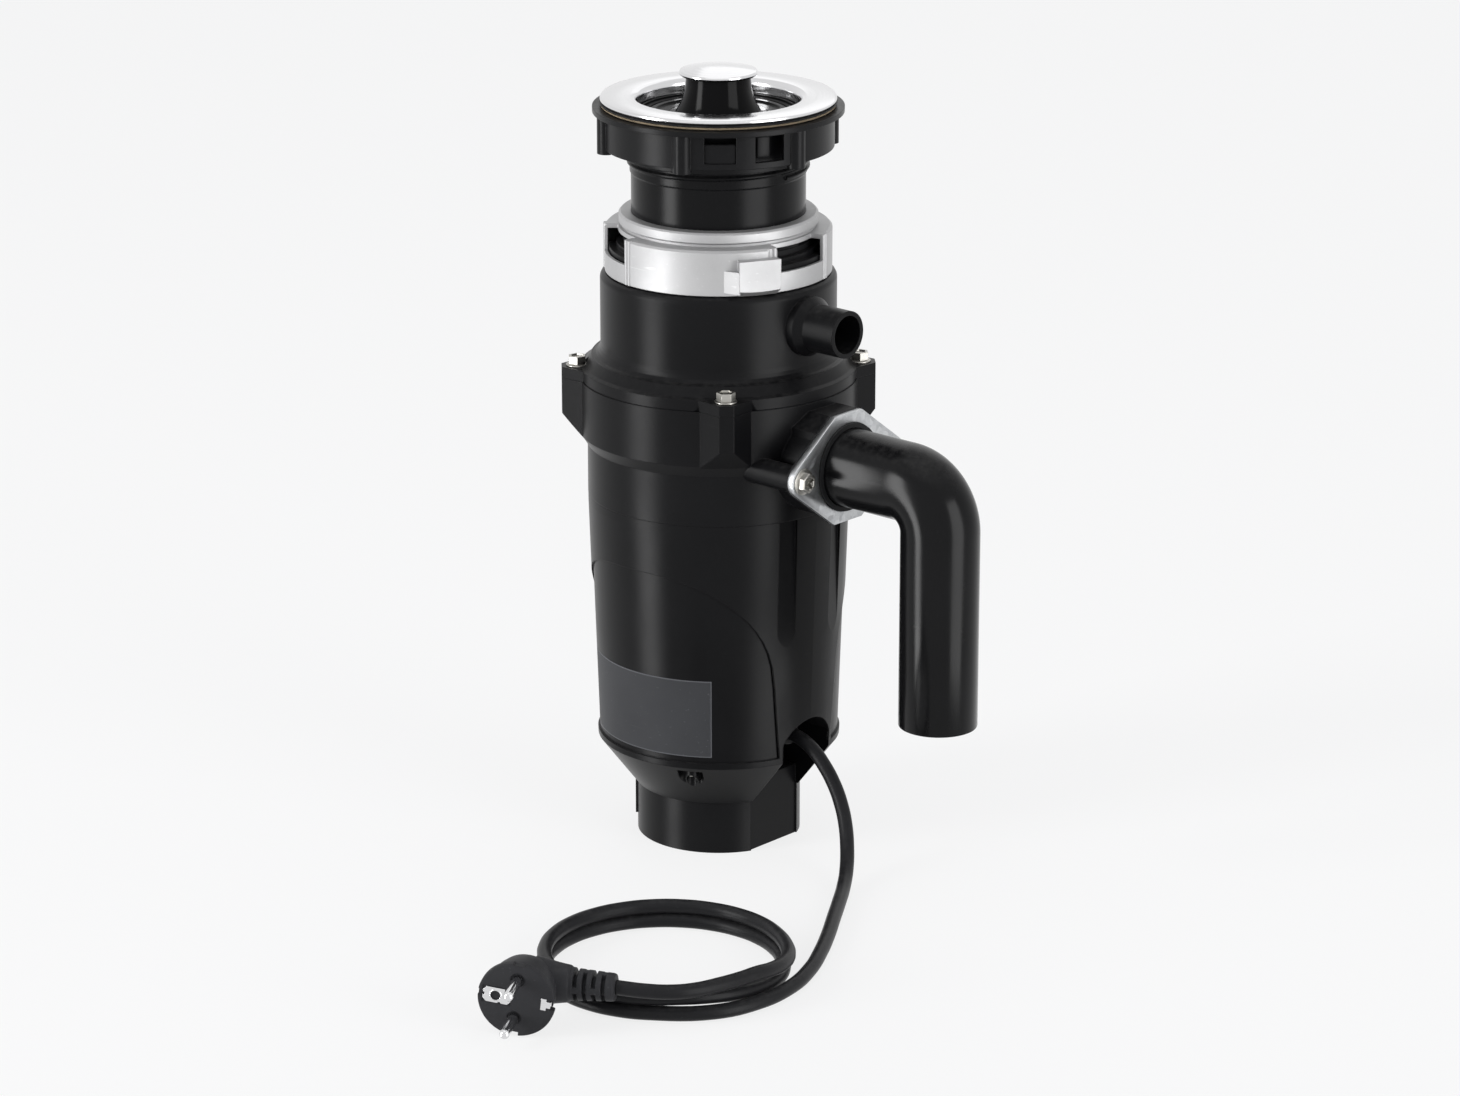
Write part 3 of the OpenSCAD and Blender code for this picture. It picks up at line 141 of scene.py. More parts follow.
def new_group(name, outputs, size=None):
    """An empty node group that takes a vector and perhaps a size, with its inner sockets."""
    tree = bpy.data.node_groups.new(name, "ShaderNodeTree")
    tree.interface.new_socket("Vector", in_out="INPUT", socket_type="NodeSocketVector")
    if size is not None:
        socket = tree.interface.new_socket("Size", in_out="INPUT", socket_type="NodeSocketFloat")
        socket.default_value = size
    for label in outputs:
        tree.interface.new_socket(label, in_out="OUTPUT", socket_type="NodeSocketFloat")
    given = tree.nodes.new("NodeGroupInput").outputs
    return tree, given, tree.nodes.new("NodeGroupOutput").inputs


def fine_grain():
    """Grain of a spark-eroded mould: small soft bumps of one size."""
    tree, given, out = new_group("Fine grain", ["Height"], size=0.5 * MM)
    scale = maths(tree, "DIVIDE", 1.0, given["Size"])
    soft = noise(tree, given["Vector"], scale, 2.0, Roughness=0.6)["Fac"]
    cells = add_node(tree, "ShaderNodeTexVoronoi", {"Vector": given["Vector"], "Scale": scale},
                     feature="SMOOTH_F1").outputs["Distance"]
    mixed = maths(tree, "ADD", maths(tree, "MULTIPLY", soft, 0.6), maths(tree, "MULTIPLY", cells, 0.5))
    tree.links.new(mixed, out["Height"])
    return tree


def handling_marks():
    """Broad cloudy unevenness and fine scattered scratches."""
    tree, given, out = new_group("Handling marks", ["Cloud", "Scratches"])
    cloud = noise(tree, given["Vector"], 17.0, 5.0, Roughness=0.55)["Fac"]
    tree.links.new(ranged(tree, cloud, 0.3, 0.7), out["Cloud"])
    ways = (((0.5, 0.2, 0.9), (26.0, 900.0, 700.0)), ((1.1, -0.7, 0.1), (800.0, 24.0, 900.0)))
    laid = [add_node(tree, "ShaderNodeMapping", {"Vector": given["Vector"], "Rotation": turned,
                                                 "Scale": stretched}) for turned, stretched in ways]
    lines = [noise(tree, way.outputs["Vector"], 1.0, 1.0)["Fac"] for way in laid]
    tree.links.new(ranged(tree, maths(tree, "MAXIMUM", *lines), 0.72, 0.8), out["Scratches"])
    return tree


def turning_lines():
    """Fine rings round the vertical axis, as a lathe or a spinning tool leaves."""
    tree, given, out = new_group("Turning lines", ["Lines"], size=0.25 * MM)
    x, y, z = add_node(tree, "ShaderNodeSeparateXYZ", {"Vector": given["Vector"]}).outputs
    squares = maths(tree, "ADD", maths(tree, "MULTIPLY", x, x), maths(tree, "MULTIPLY", y, y))
    across = maths(tree, "SQRT", squares)
    angle = maths(tree, "ARCTAN2", y, x)
    place = {"X": maths(tree, "DIVIDE", across, given["Size"]), "Y": maths(tree, "DIVIDE", z, given["Size"]),
             "Z": maths(tree, "MULTIPLY", angle, 0.8)}
    packed = add_node(tree, "ShaderNodeCombineXYZ", place)
    tree.links.new(noise(tree, packed.outputs["Vector"], 1.0, 2.0)["Fac"], out["Lines"])
    return tree


def zinc_spangle():
    """Crystals of hot-dip zinc: flat cells of different tones with soft borders."""
    tree, given, out = new_group("Zinc spangle", ["Tone", "Border"], size=5 * MM)
    bent = noise(tree, given["Vector"], 160.0, 2.0)["Color"]
    moved = add_node(tree, "ShaderNodeVectorMath", {0: bent, "Scale": 3 * MM}, operation="SCALE")
    place = add_node(tree, "ShaderNodeVectorMath", {0: given["Vector"], 1: moved.outputs["Vector"]},
                     operation="ADD").outputs["Vector"]
    scale = maths(tree, "DIVIDE", 1.0, given["Size"])
    cells = add_node(tree, "ShaderNodeTexVoronoi", {"Vector": place, "Scale": scale}).outputs
    tone = add_node(tree, "ShaderNodeSeparateColor", {"Color": cells["Color"]}).outputs["Red"]
    fern = noise(tree, place, 900.0, 3.0)["Fac"]
    mixed = maths(tree, "ADD", maths(tree, "MULTIPLY", tone, 0.5), maths(tree, "MULTIPLY", fern, 0.5))
    tree.links.new(mixed, out["Tone"])
    tree.links.new(ranged(tree, cells["Distance"], 0.45, 0.75), out["Border"])
    return tree


def settled_dust():
    """Thin dust on the surfaces that face up."""
    tree, given, out = new_group("Settled dust", ["Mask"])
    normal = add_node(tree, "ShaderNodeNewGeometry").outputs["Normal"]
    up = add_node(tree, "ShaderNodeSeparateXYZ", {"Vector": normal}).outputs["Z"]
    speckle = noise(tree, given["Vector"], 340.0, 4.0)["Fac"]
    mask = maths(tree, "MULTIPLY", ranged(tree, up, 0.55, 1.0), ranged(tree, speckle, 0.4, 0.75, 0.15, 1.0))
    tree.links.new(mask, out["Mask"])
    return tree


GROUPS = {"Fine grain": fine_grain, "Handling marks": handling_marks, "Turning lines": turning_lines,
          "Zinc spangle": zinc_spangle, "Settled dust": settled_dust}


# Finishes

# Places of the colour sockets among the inputs and outputs of a Mix node
MIX_FACTOR, MIX_FIRST, MIX_SECOND = 0, 6, 7
MIX_COLOUR = 2


class Finish:
    """One material: a Principled BSDF with the nodes that vary it over the surface."""

    def __init__(self, name, constants):
        self.material = bpy.data.materials.new(name)
        self.material.use_nodes = True
        self.tree = self.material.node_tree
        self.shader = self.tree.nodes["Principled BSDF"]
        self.place = self.node("ShaderNodeTexCoord").outputs["Object"]
        for socket, value in constants.items():
            self.shader.inputs[socket].default_value = value

    def node(self, kind, inputs=None, **settings):
        return add_node(self.tree, kind, inputs, **settings)

    def group(self, name, **inputs):
        tree = bpy.data.node_groups.get(name) or GROUPS[name]()
        return self.node("ShaderNodeGroup", {"Vector": self.place, **inputs}, node_tree=tree).outputs

    def ranged(self, value, low, high, to_low=0.0, to_high=1.0):
        return ranged(self.tree, value, low, high, to_low, to_high)

    def maths(self, operation, a, b=0.0):
        return maths(self.tree, operation, a, b)

    def blend(self, mask, first, second):
        first, second = (tone if isinstance(tone, bpy.types.NodeSocket) else (*tone[:3], 1.0)
                         for tone in (first, second))
        inputs = {MIX_FACTOR: mask, MIX_FIRST: first, MIX_SECOND: second}
        return self.node("ShaderNodeMix", inputs, data_type="RGBA").outputs[MIX_COLOUR]

    def tinted(self, mask, share, first, second):
        """The first colour with a share of the second where the mask is."""
        return self.blend(self.maths("MULTIPLY", mask, share), first, second)

    def bump(self, height, depth, radius=None):
        """Normal of a relief of some depth, on edges rounded by a radius where one is given."""
        inputs = {"Height": height, "Distance": depth}
        if radius is not None:
            inputs["Normal"] = self.node("ShaderNodeBevel", {"Radius": radius}, samples=4).outputs["Normal"]
        return self.node("ShaderNodeBump", inputs).outputs["Normal"]

    def feed(self, tone, gloss, normal):
        """The finished material, with its changing colour, roughness and normal plugged in."""
        for label, value in (("Base Color", tone), ("Roughness", gloss), ("Normal", normal)):
            self.tree.links.new(value, self.shader.inputs[label])
        return self.material


def shade(colour, factor):
    return tuple(min(1.0, c * factor) for c in colour[:3])


def moulded(name, colour, rough, depth, grain=None, edge=None, level=0.1):
    """Injection moulding: fine grain, cloudy gloss, a few hairline scratches, rounded edges."""
    f = Finish(name, {"Specular IOR Level": level})
    marks = f.group("Handling marks")
    dust = f.group("Settled dust")["Mask"]
    height = f.group("Fine grain", Size=grain or sizes().grain)["Height"]
    tone = f.blend(marks["Cloud"], shade(colour, 0.88), shade(colour, 1.14))
    tone = f.tinted(marks["Scratches"], 0.3, tone, shade(colour, 3.0))
    tone = f.tinted(dust, 0.06, tone, (0.32, 0.31, 0.3))
    gloss = f.maths("ADD", f.ranged(marks["Cloud"], 0.0, 1.0, rough - 0.035, rough + 0.045),
                    f.maths("MULTIPLY", dust, 0.08))
    return f.feed(tone, gloss, f.bump(height, depth, edge or sizes().edge))


def turned_metal(name, colour, rough, pitch, depth, swing=0.07):
    """Bright metal turned or polished round the axis."""
    f = Finish(name, {"Metallic": 1.0})
    lines = f.group("Turning lines", Size=pitch)["Lines"]
    marks = f.group("Handling marks")
    tone = f.blend(lines, shade(colour, 0.9), shade(colour, 1.06))
    tone = f.tinted(marks["Cloud"], 0.25, tone, shade(colour, 0.86))
    gloss = f.maths("ADD", f.ranged(lines, 0.2, 0.8, rough - swing, rough + swing),
                    f.maths("MULTIPLY", marks["Scratches"], 0.12))
    return f.feed(tone, gloss, f.bump(lines, depth, sizes().fine_edge))


def cast_metal(name, colour, rough, grain, depth, edge=0.5 * MM):
    """Die casting or plating: satin skin with faint mottling and brighter rubbed spots."""
    f = Finish(name, {"Metallic": 1.0})
    marks = f.group("Handling marks")
    height = f.group("Fine grain", Size=grain)["Height"]
    tone = f.blend(marks["Cloud"], shade(colour, 0.86), shade(colour, 1.1))
    tone = f.tinted(marks["Scratches"], 0.5, tone, shade(colour, 1.35))
    gloss = f.maths("ADD", f.ranged(marks["Cloud"], 0.0, 1.0, rough + 0.06, rough - 0.05),
                    f.maths("MULTIPLY", height, 0.05))
    return f.feed(tone, gloss, f.bump(height, depth, edge))


def rubber_skin(name, colour, rough):
    """Moulded rubber: matte, slightly chalky, with soft flow marks."""
    f = Finish(name, {"Specular IOR Level": 0.14})
    cloud = f.group("Handling marks")["Cloud"]
    dust = f.group("Settled dust")["Mask"]
    height = f.group("Fine grain", Size=0.6 * MM)["Height"]
    tone = f.blend(cloud, shade(colour, 0.85), shade(colour, 1.35))
    tone = f.tinted(dust, 0.1, tone, (0.3, 0.3, 0.3))
    gloss = f.ranged(cloud, 0.0, 1.0, rough - 0.06, rough + 0.08)
    return f.feed(tone, gloss, f.bump(height, 0.03 * MM, 0.4 * MM))


def spangled(name):
    """Galvanised sheet."""
    f = Finish(name, {"Metallic": 1.0})
    zinc = f.group("Zinc spangle", Size=sizes().spangle)
    marks = f.group("Handling marks")
    tone = f.blend(zinc["Tone"], (0.3, 0.31, 0.32), (0.6, 0.61, 0.62))
    tone = f.tinted(zinc["Border"], 0.2, tone, (0.42, 0.43, 0.45))
    gloss = f.maths("ADD", f.ranged(zinc["Tone"], 0.0, 1.0, 0.46, 0.26),
                    f.maths("MULTIPLY", marks["Scratches"], 0.1))
    return f.feed(tone, gloss, f.bump(zinc["Tone"], 0.03 * MM, 0.3 * MM))


def fibre_board(name):
    """Pressed fibre: short tan hairs in all directions."""
    f = Finish(name, {"IOR": 1.45})
    hairs = []
    for turn in (0.0, 1.1, 2.2):
        laid = f.node("ShaderNodeMapping", {"Vector": f.place, "Rotation": (0.3, 0.2, turn),
                                            "Scale": (160.0, 1500.0, 1500.0)})
        hairs.append(noise(f.tree, laid.outputs["Vector"], 1.0, 2.0)["Fac"])
    felt = f.maths("MAXIMUM", f.maths("MAXIMUM", hairs[0], hairs[1]), hairs[2])
    tan = colours().fibre
    tone = f.blend(f.ranged(felt, 0.45, 0.75), shade(tan, 0.7), shade(tan, 1.35))
    return f.feed(tone, f.ranged(felt, 0.4, 0.8, 0.9, 0.7), f.bump(felt, 0.08 * MM))


def wound_copper(name):
    """Enamelled wire laid side by side."""
    f = Finish(name, {"Metallic": 0.85, "Coat Weight": 0.4})
    wires = f.node("ShaderNodeTexWave", {"Vector": f.place, "Scale": 420.0, "Distortion": 2.0, "Detail": 1.0,
                                         "Detail Scale": 0.4}, bands_direction="DIAGONAL").outputs["Fac"]
    tone = f.blend(wires, (0.22, 0.07, 0.025), (0.72, 0.3, 0.12))
    return f.feed(tone, f.ranged(wires, 0.0, 1.0, 0.5, 0.28), f.bump(wires, 0.3 * MM))


def stacked_steel(name):
    """Thin laminations seen on edge."""
    f = Finish(name, {"Metallic": 0.9})
    height = f.node("ShaderNodeSeparateXYZ", {"Vector": f.place}).outputs["Z"]
    sheet = f.maths("FRACT", f.maths("MULTIPLY", height, 1 / (0.65 * MM)))
    gap = f.ranged(sheet, 0.0, 0.2)
    marks = f.group("Handling marks")
    tone = f.blend(gap, (0.06, 0.06, 0.065), (0.32, 0.33, 0.35))
    tone = f.tinted(marks["Cloud"], 0.4, tone, (0.14, 0.11, 0.09))
    return f.feed(tone, f.ranged(gap, 0.0, 1.0, 0.7, 0.42), f.bump(gap, 0.08 * MM))


def circuit_board(name):
    """Dark solder mask with lighter traces."""
    f = Finish(name, {"Coat Weight": 0.3})
    cells = f.node("ShaderNodeTexVoronoi", {"Vector": f.place, "Scale": 240.0}, feature="F1",
                   distance="CHEBYCHEV").outputs["Distance"]
    trace = f.ranged(cells, 0.42, 0.46)
    tone = f.blend(trace, (0.02, 0.06, 0.035), (0.05, 0.13, 0.07))
    return f.feed(tone, f.ranged(trace, 0.0, 1.0, 0.4, 0.55), f.bump(trace, 0.04 * MM))


FINISHES = {}


def finishes():
    """Every finish by name, made once."""
    if FINISHES:
        return FINISHES
    c = colours()
    film = {"grain": 0.9 * MM, "edge": 0.1 * MM}
    FINISHES.update({
        "moulding": moulded("Black moulding", c.moulding, 0.33, 0.018 * MM),
        "pipe": moulded("Black pipe", shade(c.moulding, 0.9), 0.2, 0.005 * MM, level=0.13),
        "nut": moulded("Black nut", shade(c.moulding, 1.1), 0.34, 0.014 * MM, level=0.12),
        "plate": moulded("Plate film", c.plate, 0.5, 0.008 * MM, **film),
        # A lighter copy of the plate's grey: painted highlight along the edge of the plate
        "plate_edge_highlight": moulded("Plate edge painted highlight", shade(c.plate, 2.2), 0.4, 0.008 * MM, **film),
        "stopper": moulded("Stopper moulding", shade(c.moulding, 0.8), 0.13, 0.002 * MM, level=0.06),
        "gloss": moulded("Glossy black moulding", shade(c.moulding, 0.8), 0.24, 0.006 * MM),
        "sheath": moulded("Cord sheath", c.sheath, 0.36, 0.012 * MM, grain=0.8 * MM),
        "plug": moulded("Plug moulding", c.plug, 0.5, 0.03 * MM, grain=0.7 * MM),
        "button": moulded("Red button", (0.45, 0.02, 0.015), 0.3, 0.01 * MM),
        "rubber": rubber_skin("Black rubber", (0.008, 0.008, 0.0085), 0.55),
        "ground": turned_metal("Ground steel", shade(c.steel, 0.85), 0.34, 0.5 * MM, 0.01 * MM),
        "polished": turned_metal("Polished steel", shade(c.steel, 1.03), 0.14, 0.4 * MM, 0.002 * MM,
                                 swing=0.04),
        "casting": cast_metal("Die casting", c.casting, 0.55, 0.7 * MM, 0.03 * MM),
        "zinc": cast_metal("Zinc plating", c.zinc, 0.3, 0.35 * MM, 0.01 * MM, edge=0.25 * MM),
        "spangle": spangled("Galvanised sheet"),
        "magnet": cast_metal("Ferrite", (0.09, 0.09, 0.095), 0.6, 0.8 * MM, 0.05 * MM),
        "core": stacked_steel("Laminations"),
        "copper": wound_copper("Wound copper"),
        "brass": cast_metal("Brass", (0.72, 0.5, 0.2), 0.3, 0.5 * MM, 0.01 * MM, edge=0.2 * MM),
        "board": circuit_board("Circuit board"),
        "fibre": fibre_board("Tan fibre"),
    })
    return FINISHES


# Mesh helpers, in millimetres and degrees


def move(x, y, z):
    return Matrix.Translation(Vector((x, y, z)) * MM)


def turn(degrees, axis):
    return Matrix.Rotation(math.radians(degrees), 4, axis)


def moved(b, matrix):
    bmesh.ops.transform(b, matrix=matrix, verts=b.verts)
    return b


def arc(centre, reach, angles):
    """Points of an elliptical arc for an outline."""
    return [tuple(c + r * part for c, r, part in zip(centre, reach, (math.cos(a), math.sin(a))))
            for a in map(math.radians, angles)]


def spun(outline, steps, start=0.0, span=360.0):
    """A closed shape spun about the Z axis from an outline of (radius, height)."""
    b = bmesh.new()
    verts = [b.verts.new(turn(start, "Z") @ Vector((r * MM, 0, z * MM))) for r, z in outline]
    loop = [b.edges.new(pair) for pair in zip(verts, verts[1:] + verts[:1])]
    full = span == 360.0
    bmesh.ops.spin(b, geom=verts + loop, cent=(0, 0, 0), axis=(0, 0, 1), angle=math.radians(span),
                   steps=steps, use_merge=full, use_duplicate=False)
    if not full:
        closed(b)
    bmesh.ops.remove_doubles(b, verts=b.verts, dist=0.002 * MM)
    return b


def closed(b):
    """Fills the open ends of a swept shape."""
    bmesh.ops.holes_fill(b, edges=[e for e in b.edges if e.is_boundary], sides=0)


def blocks(*corners):
    """A bmesh with a box for each pair of opposite corners."""
    return add_blocks(bmesh.new(), *corners)


def add_blocks(b, *corners):
    for low, high in corners:
        for v in bmesh.ops.create_cube(b, size=1.0)["verts"]:
            v.co = Vector(((lo + hi) / 2 + c * (hi - lo) for lo, hi, c in zip(low, high, v.co))) * MM
    return b


def peg(b, r, depth, place, segments=40, top_r=None):
    """Adds a cylinder or a cone about the Z axis of a place."""
    bmesh.ops.create_cone(b, cap_ends=True, segments=segments, radius1=r * MM, radius2=(top_r or r) * MM,
                          depth=depth * MM, matrix=place)
    return b


def rounded(b, width, segments, above, edges=None):
    """Rounds the edges that turn by more than an angle."""
    limit = math.radians(above)
    sharp = [e for e in (edges or b.edges) if len(e.link_faces) == 2 and e.calc_face_angle(0) > limit]
    bmesh.ops.bevel(b, geom=sharp, offset=width * MM, offset_type="OFFSET", affect="EDGES",
                    segments=segments, profile=0.5, material=-1, clamp_overlap=True)
    return b


def to_mesh(b, name):
    """Turns a bmesh with its faces outwards into a mesh."""
    bmesh.ops.recalc_face_normals(b, faces=b.faces)
    mesh = bpy.data.meshes.new(name)
    b.to_mesh(mesh)
    b.free()
    return mesh


def copies(b, places):
    """One bmesh with a copy of a shape at each of the places."""
    mesh = to_mesh(b, "copying")
    whole = bmesh.new()
    for place in places:
        since = len(whole.verts)
        whole.from_mesh(mesh)
        whole.verts.ensure_lookup_table()
        bmesh.ops.transform(whole, matrix=place, verts=whole.verts[since:])
    bpy.data.meshes.remove(mesh)
    return whole


def merged(*parts):
    """One bmesh from several closed shapes."""
    whole = bmesh.new()
    for part in parts:
        mesh = to_mesh(part, "joining")
        whole.from_mesh(mesh)
        bpy.data.meshes.remove(mesh)
    return whole


def carved(b, tool, operation="DIFFERENCE"):
    """Takes the second shape out of the first, or joins it on, and gives what is left."""
    parts = [bpy.data.objects.new("carving", to_mesh(shape, "carving")) for shape in (b, tool)]
    for part in parts:
        bpy.context.scene.collection.objects.link(part)
    cut = parts[0].modifiers.new("cut", "BOOLEAN")
    cut.operation = operation
    cut.solver = "EXACT"
    cut.object = parts[1]
    cut.use_self = True
    left = bmesh.new()
    left.from_object(parts[0], bpy.context.evaluated_depsgraph_get())
    for part in parts:
        mesh = part.data
        bpy.data.objects.remove(part)
        bpy.data.meshes.remove(mesh)
    bmesh.ops.remove_doubles(left, verts=left.verts, dist=0.005 * MM)
    return left


# Pieces on the frame

SMOOTH_BELOW = 32


def body_of(node):
    for body, nodes in frame["record"]["behaviour"]["bodies"].items():
        if node in nodes:
            return body
    raise RuntimeError(f"{node} is on no body")


def slot_of(node):
    return next(p["material_slot"] for p in frame["record"]["subparts"] if p["node"] == node)


def placed(name, finish, node, b):
    """Turns a bmesh into a piece with a finish, on the body of a frame node."""
    mesh = bpy.data.meshes.new(name)
    for face in b.faces:
        face.smooth = True
    b.to_mesh(mesh)
    b.free()
    mesh.set_sharp_from_angle(angle=math.radians(SMOOTH_BELOW))
    mesh.materials.append(finishes()[finish])
    piece = bpy.data.objects.new(name, mesh)
    bpy.context.scene.collection.objects.link(piece)
    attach(piece, body_of(node))
    slot_of(node)
    return piece


def added(name, finish, node, b):
    """Adds a piece beside a frame node."""
    bmesh.ops.recalc_face_normals(b, faces=b.faces)
    return placed(name, finish, node, b)


def stand_in(name, finish, node, b):
    """Shows a piece in place of a frame node."""
    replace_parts(added(name, finish, node, b), node)


def softened(name, finish, node, width):
    """Shows a copy of a frame node with rounded edges in its place."""
    b = bmesh.new()
    b.from_mesh(frame["nodes"][node].data)
    bmesh.ops.remove_doubles(b, verts=b.verts, dist=0.002 * MM)
    bmesh.ops.dissolve_limit(b, angle_limit=math.radians(0.4), verts=b.verts, edges=b.edges,
                             delimit={"NORMAL"})
    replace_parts(placed(name, finish, node, rounded(b, width, 2, 30)), node)


# Plug: made with its face at X = 0 and its cord leaving at the side, then put in its place

PLUG_PLACE = move(113, -261.4, 18.2) @ turn(-60, "Z") @ turn(3, "Y")
# The face's pattern is rolled a little about the plug's axis
PLUG_FACE = PLUG_PLACE @ move(0, 0, 0.7) @ turn(-7, "X")
FACING = turn(90, "Y")
ALONG_CORD = move(-21.4, 0, 0) @ turn(-90, "X")
PIN_PLACES = [move(0, 0, side * 9.5) @ FACING for side in (-1, 1)]
EARTH_HOLE = -9.4


def plug_disc():
    """The plug's face with the wells of its pins, its recess and the notches in its rim."""
    rim, back = 18, -6
    disc = moved(spun([(0, back), (rim - 2.2, back), (rim - 2.2, -4.2), (rim - 0.5, -3.7), (rim, -3.1),
                       (rim, -0.9), (rim - 0.25, -0.3), (rim - 0.9, 0), (0, 0)], 96), FACING)
    over = 0.5
    tool = blocks(((-3, -19, -1.6), (over, -16.9, 1.6)), ((-4, 15.6, -2.4), (over, 19, 2.4)),
                  ((back, -2.6, 16.4), (over, 2.6, 19)), ((back, -2.6, -19), (over, 2.6, -16.4)),
                  ((-0.35, -15.6, -4.2), (over, -2.0, 4.2)))
    for place in PIN_PLACES:
        peg(tool, 3.3, 1.6, place)
    peg(tool, 2.3, 9, move(-5, EARTH_HOLE, 0) @ FACING)
    return carved(disc, moved(tool, PLUG_PLACE.inverted() @ PLUG_FACE))


def plug_body():
    """The hood behind the disc with the collar at its side."""
    hood = spun([(0, -28.6), (5.5, -28.2), (9, -26.6), (11.8, -23.6), (13.8, -19.6), (15, -15), (15.9, -10),
                 (16.3, -5.5), (16.2, -4.4), (0, -4.4)], 96)
    collar = spun([(0, 4), (11.6, 4), (10.9, 8), (10.1, 11), (9.5, 14), (9.0, 17), (8.6, 19.8), (8.2, 20.5),
                   (0, 20.5)], 64)
    return carved(moved(hood, FACING), moved(collar, ALONG_CORD), "UNION")


def strain_relief():
    """A sleeve with slots that take turns between its sides, round a plain core."""
    sleeve = spun([(0, 19), (7.9, 19), (7.7, 22.3), (7.5, 22.3), (6.5, 40.2), (6.1, 41.2), (5.2, 41.5),
                   (0, 41.5)], 48)
    half_slot, web, past = 1.0, 1.5, 10
    slots = bmesh.new()
    for index, along in enumerate((23.5, 27.8, 32.1, 36.5)):
        low, high = along - half_slot, along + half_slot
        for near, far in ((-past, -web), (web, past)):
            if index % 2 == 0:
                add_blocks(slots, ((-past, near, low), (past, far, high)))
            else:
                add_blocks(slots, ((near, -past, low), (far, past, high)))
    core = spun([(0, 20), (4.1, 20), (4.1, 40.5), (0, 40.5)], 40)
    return moved(merged(carved(sleeve, slots), core), ALONG_CORD)


def earth_contacts():
    """The contact plate with its rimmed hole, and the clip at the other side of the face."""
    plate = blocks(((-0.3, -15.3, -3.7), (0.25, -2.3, 3.7)))
    corners = [e for e in plate.edges if abs(e.verts[0].co.x - e.verts[1].co.x) > 0.3 * MM]
    rounded(plate, 1.6, 1, 30, edges=corners)
    hole_r = 2.35
    hole = peg(bmesh.new(), hole_r, 4, move(0, EARTH_HOLE, 0) @ FACING)
    add_blocks(hole, ((-1, -5.2, 2.6), (1, -4.0, 4.5)), ((-1, -16, -0.7), (1, -14.6, 0.7)),
               ((-1, -8.2, -4.5), (1, -6.6, -3.1)))
    rim = spun([(hole_r, -3), (hole_r + 0.4, -3), (hole_r + 0.4, 0.5), (hole_r, 0.5)], 40)
    clip = carved(blocks(((-2, 11.7, -2.8), (0.35, 14.2, 2.8))),
                  blocks(((-2, 14.1, -1.5), (0.3, 16.2, 1.5))), "UNION")
    return merged(carved(plate, hole), moved(rim, move(0, EARTH_HOLE, 0) @ FACING), clip)


class DISPOSER_OT_plug(bpy.types.Operator):
    """Moulds the plug: disc, hood, collar and strain relief, with its pins and its earth contacts"""
    bl_idname = "disposer.plug"
    bl_label = "Plug"

    def execute(self, context):
        body = merged(carved(plug_body(), plug_disc(), "UNION"), strain_relief())
        stand_in("plug_moulded", "plug", "plug_body", moved(body, PLUG_PLACE))
        r, length = 2.4, 19
        pin = spun([(0, -1), (r, -1), (r, length - 2.4), (r - 0.15, length - 1.4), (r - 0.6, length - 0.6),
                    (r - 1.3, length - 0.15), (0, length)], 40)
        pins = copies(pin, [PLUG_FACE @ place for place in PIN_PLACES])
        stand_in("plug_pins_rounded", "polished", "plug_pins", pins)
        stand_in("plug_earth_contacts", "polished", "plug_earth_contact", moved(earth_contacts(), PLUG_FACE))
        return {"FINISHED"}


# Supply cord: its lead and its tail go by points, its coil by a loop

CORD_LEAD = [(48, 0, 60), (55, 0, 58.5), (62, 0.5, 54.6), (69, 0.5, 48.5), (76, 0, 40.5), (82, -1.5, 32),
             (87.5, -4.5, 23.5), (93.5, -10, 14.5), (100.5, -18.5, 7.5), (109, -30.5, 4), (119.5, -46, 3.5),
             (131.5, -64, 3.5), (143.5, -82, 3.5), (154.5, -100, 3.5), (164.5, -119, 3.5),
             (171.5, -140, 3.5), (172.5, -163, 3.5), (165, -186, 3.5)]
CORD_TAIL = [(169.5, -171, 16.8), (167.5, -185, 17.3), (164, -197.5, 17.6), (158.3, -207.2, 18),
             (149.5, -215.3, 18.6), (138.3, -222.1, 19.3)]
# The way off the coil: angle, radius and height
COIL_END = [(50, 56.6, 10.8), (36, 57.6, 11.6), (22, 58.7, 13.2), (8, 59.3, 15.2), (-3, 59.4, 16.8)]
COIL_CENTRE = (111, -160)
COIL_START, COIL_SPAN, COIL_STEPS = -56, 600, 40
COIL_R = 56.6
CORD_ON_FLOOR = 3.5
# What the coil does on its way: by how many millimetres, and from which degree over how many
DRAWN_IN = (1.6, 60, 240)
EASED_OUT = (1.2, 300, 80)
RAISED = (7.05, 262, 88)


def on_coil(angle, r, z):
    a = math.radians(angle)
    return (COIL_CENTRE[0] + r * math.cos(a), COIL_CENTRE[1] + r * math.sin(a), z)


def progress(along, stretch):
    """How much of a stretch of the coil lies behind a degree, from 0 to 1."""
    start, length = stretch[1:]
    return min(max((along - start) / length, 0.0), 1.0)


def coil_points():
    """Centreline of the coil: one turn on the floor, a short rise, and most of a turn on top."""
    points = []
    for step in range(COIL_STEPS + 1):
        along = step / COIL_STEPS * COIL_SPAN
        drawn = math.sin(progress(along, DRAWN_IN) * math.pi / 2) ** 2
        r = COIL_R - DRAWN_IN[0] * drawn + EASED_OUT[0] * progress(along, EASED_OUT)
        climb = progress(along, RAISED)
        z = CORD_ON_FLOOR + RAISED[0] * climb * climb * (3 - 2 * climb)
        points.append(on_coil(COIL_START - along, r, z))
    return points


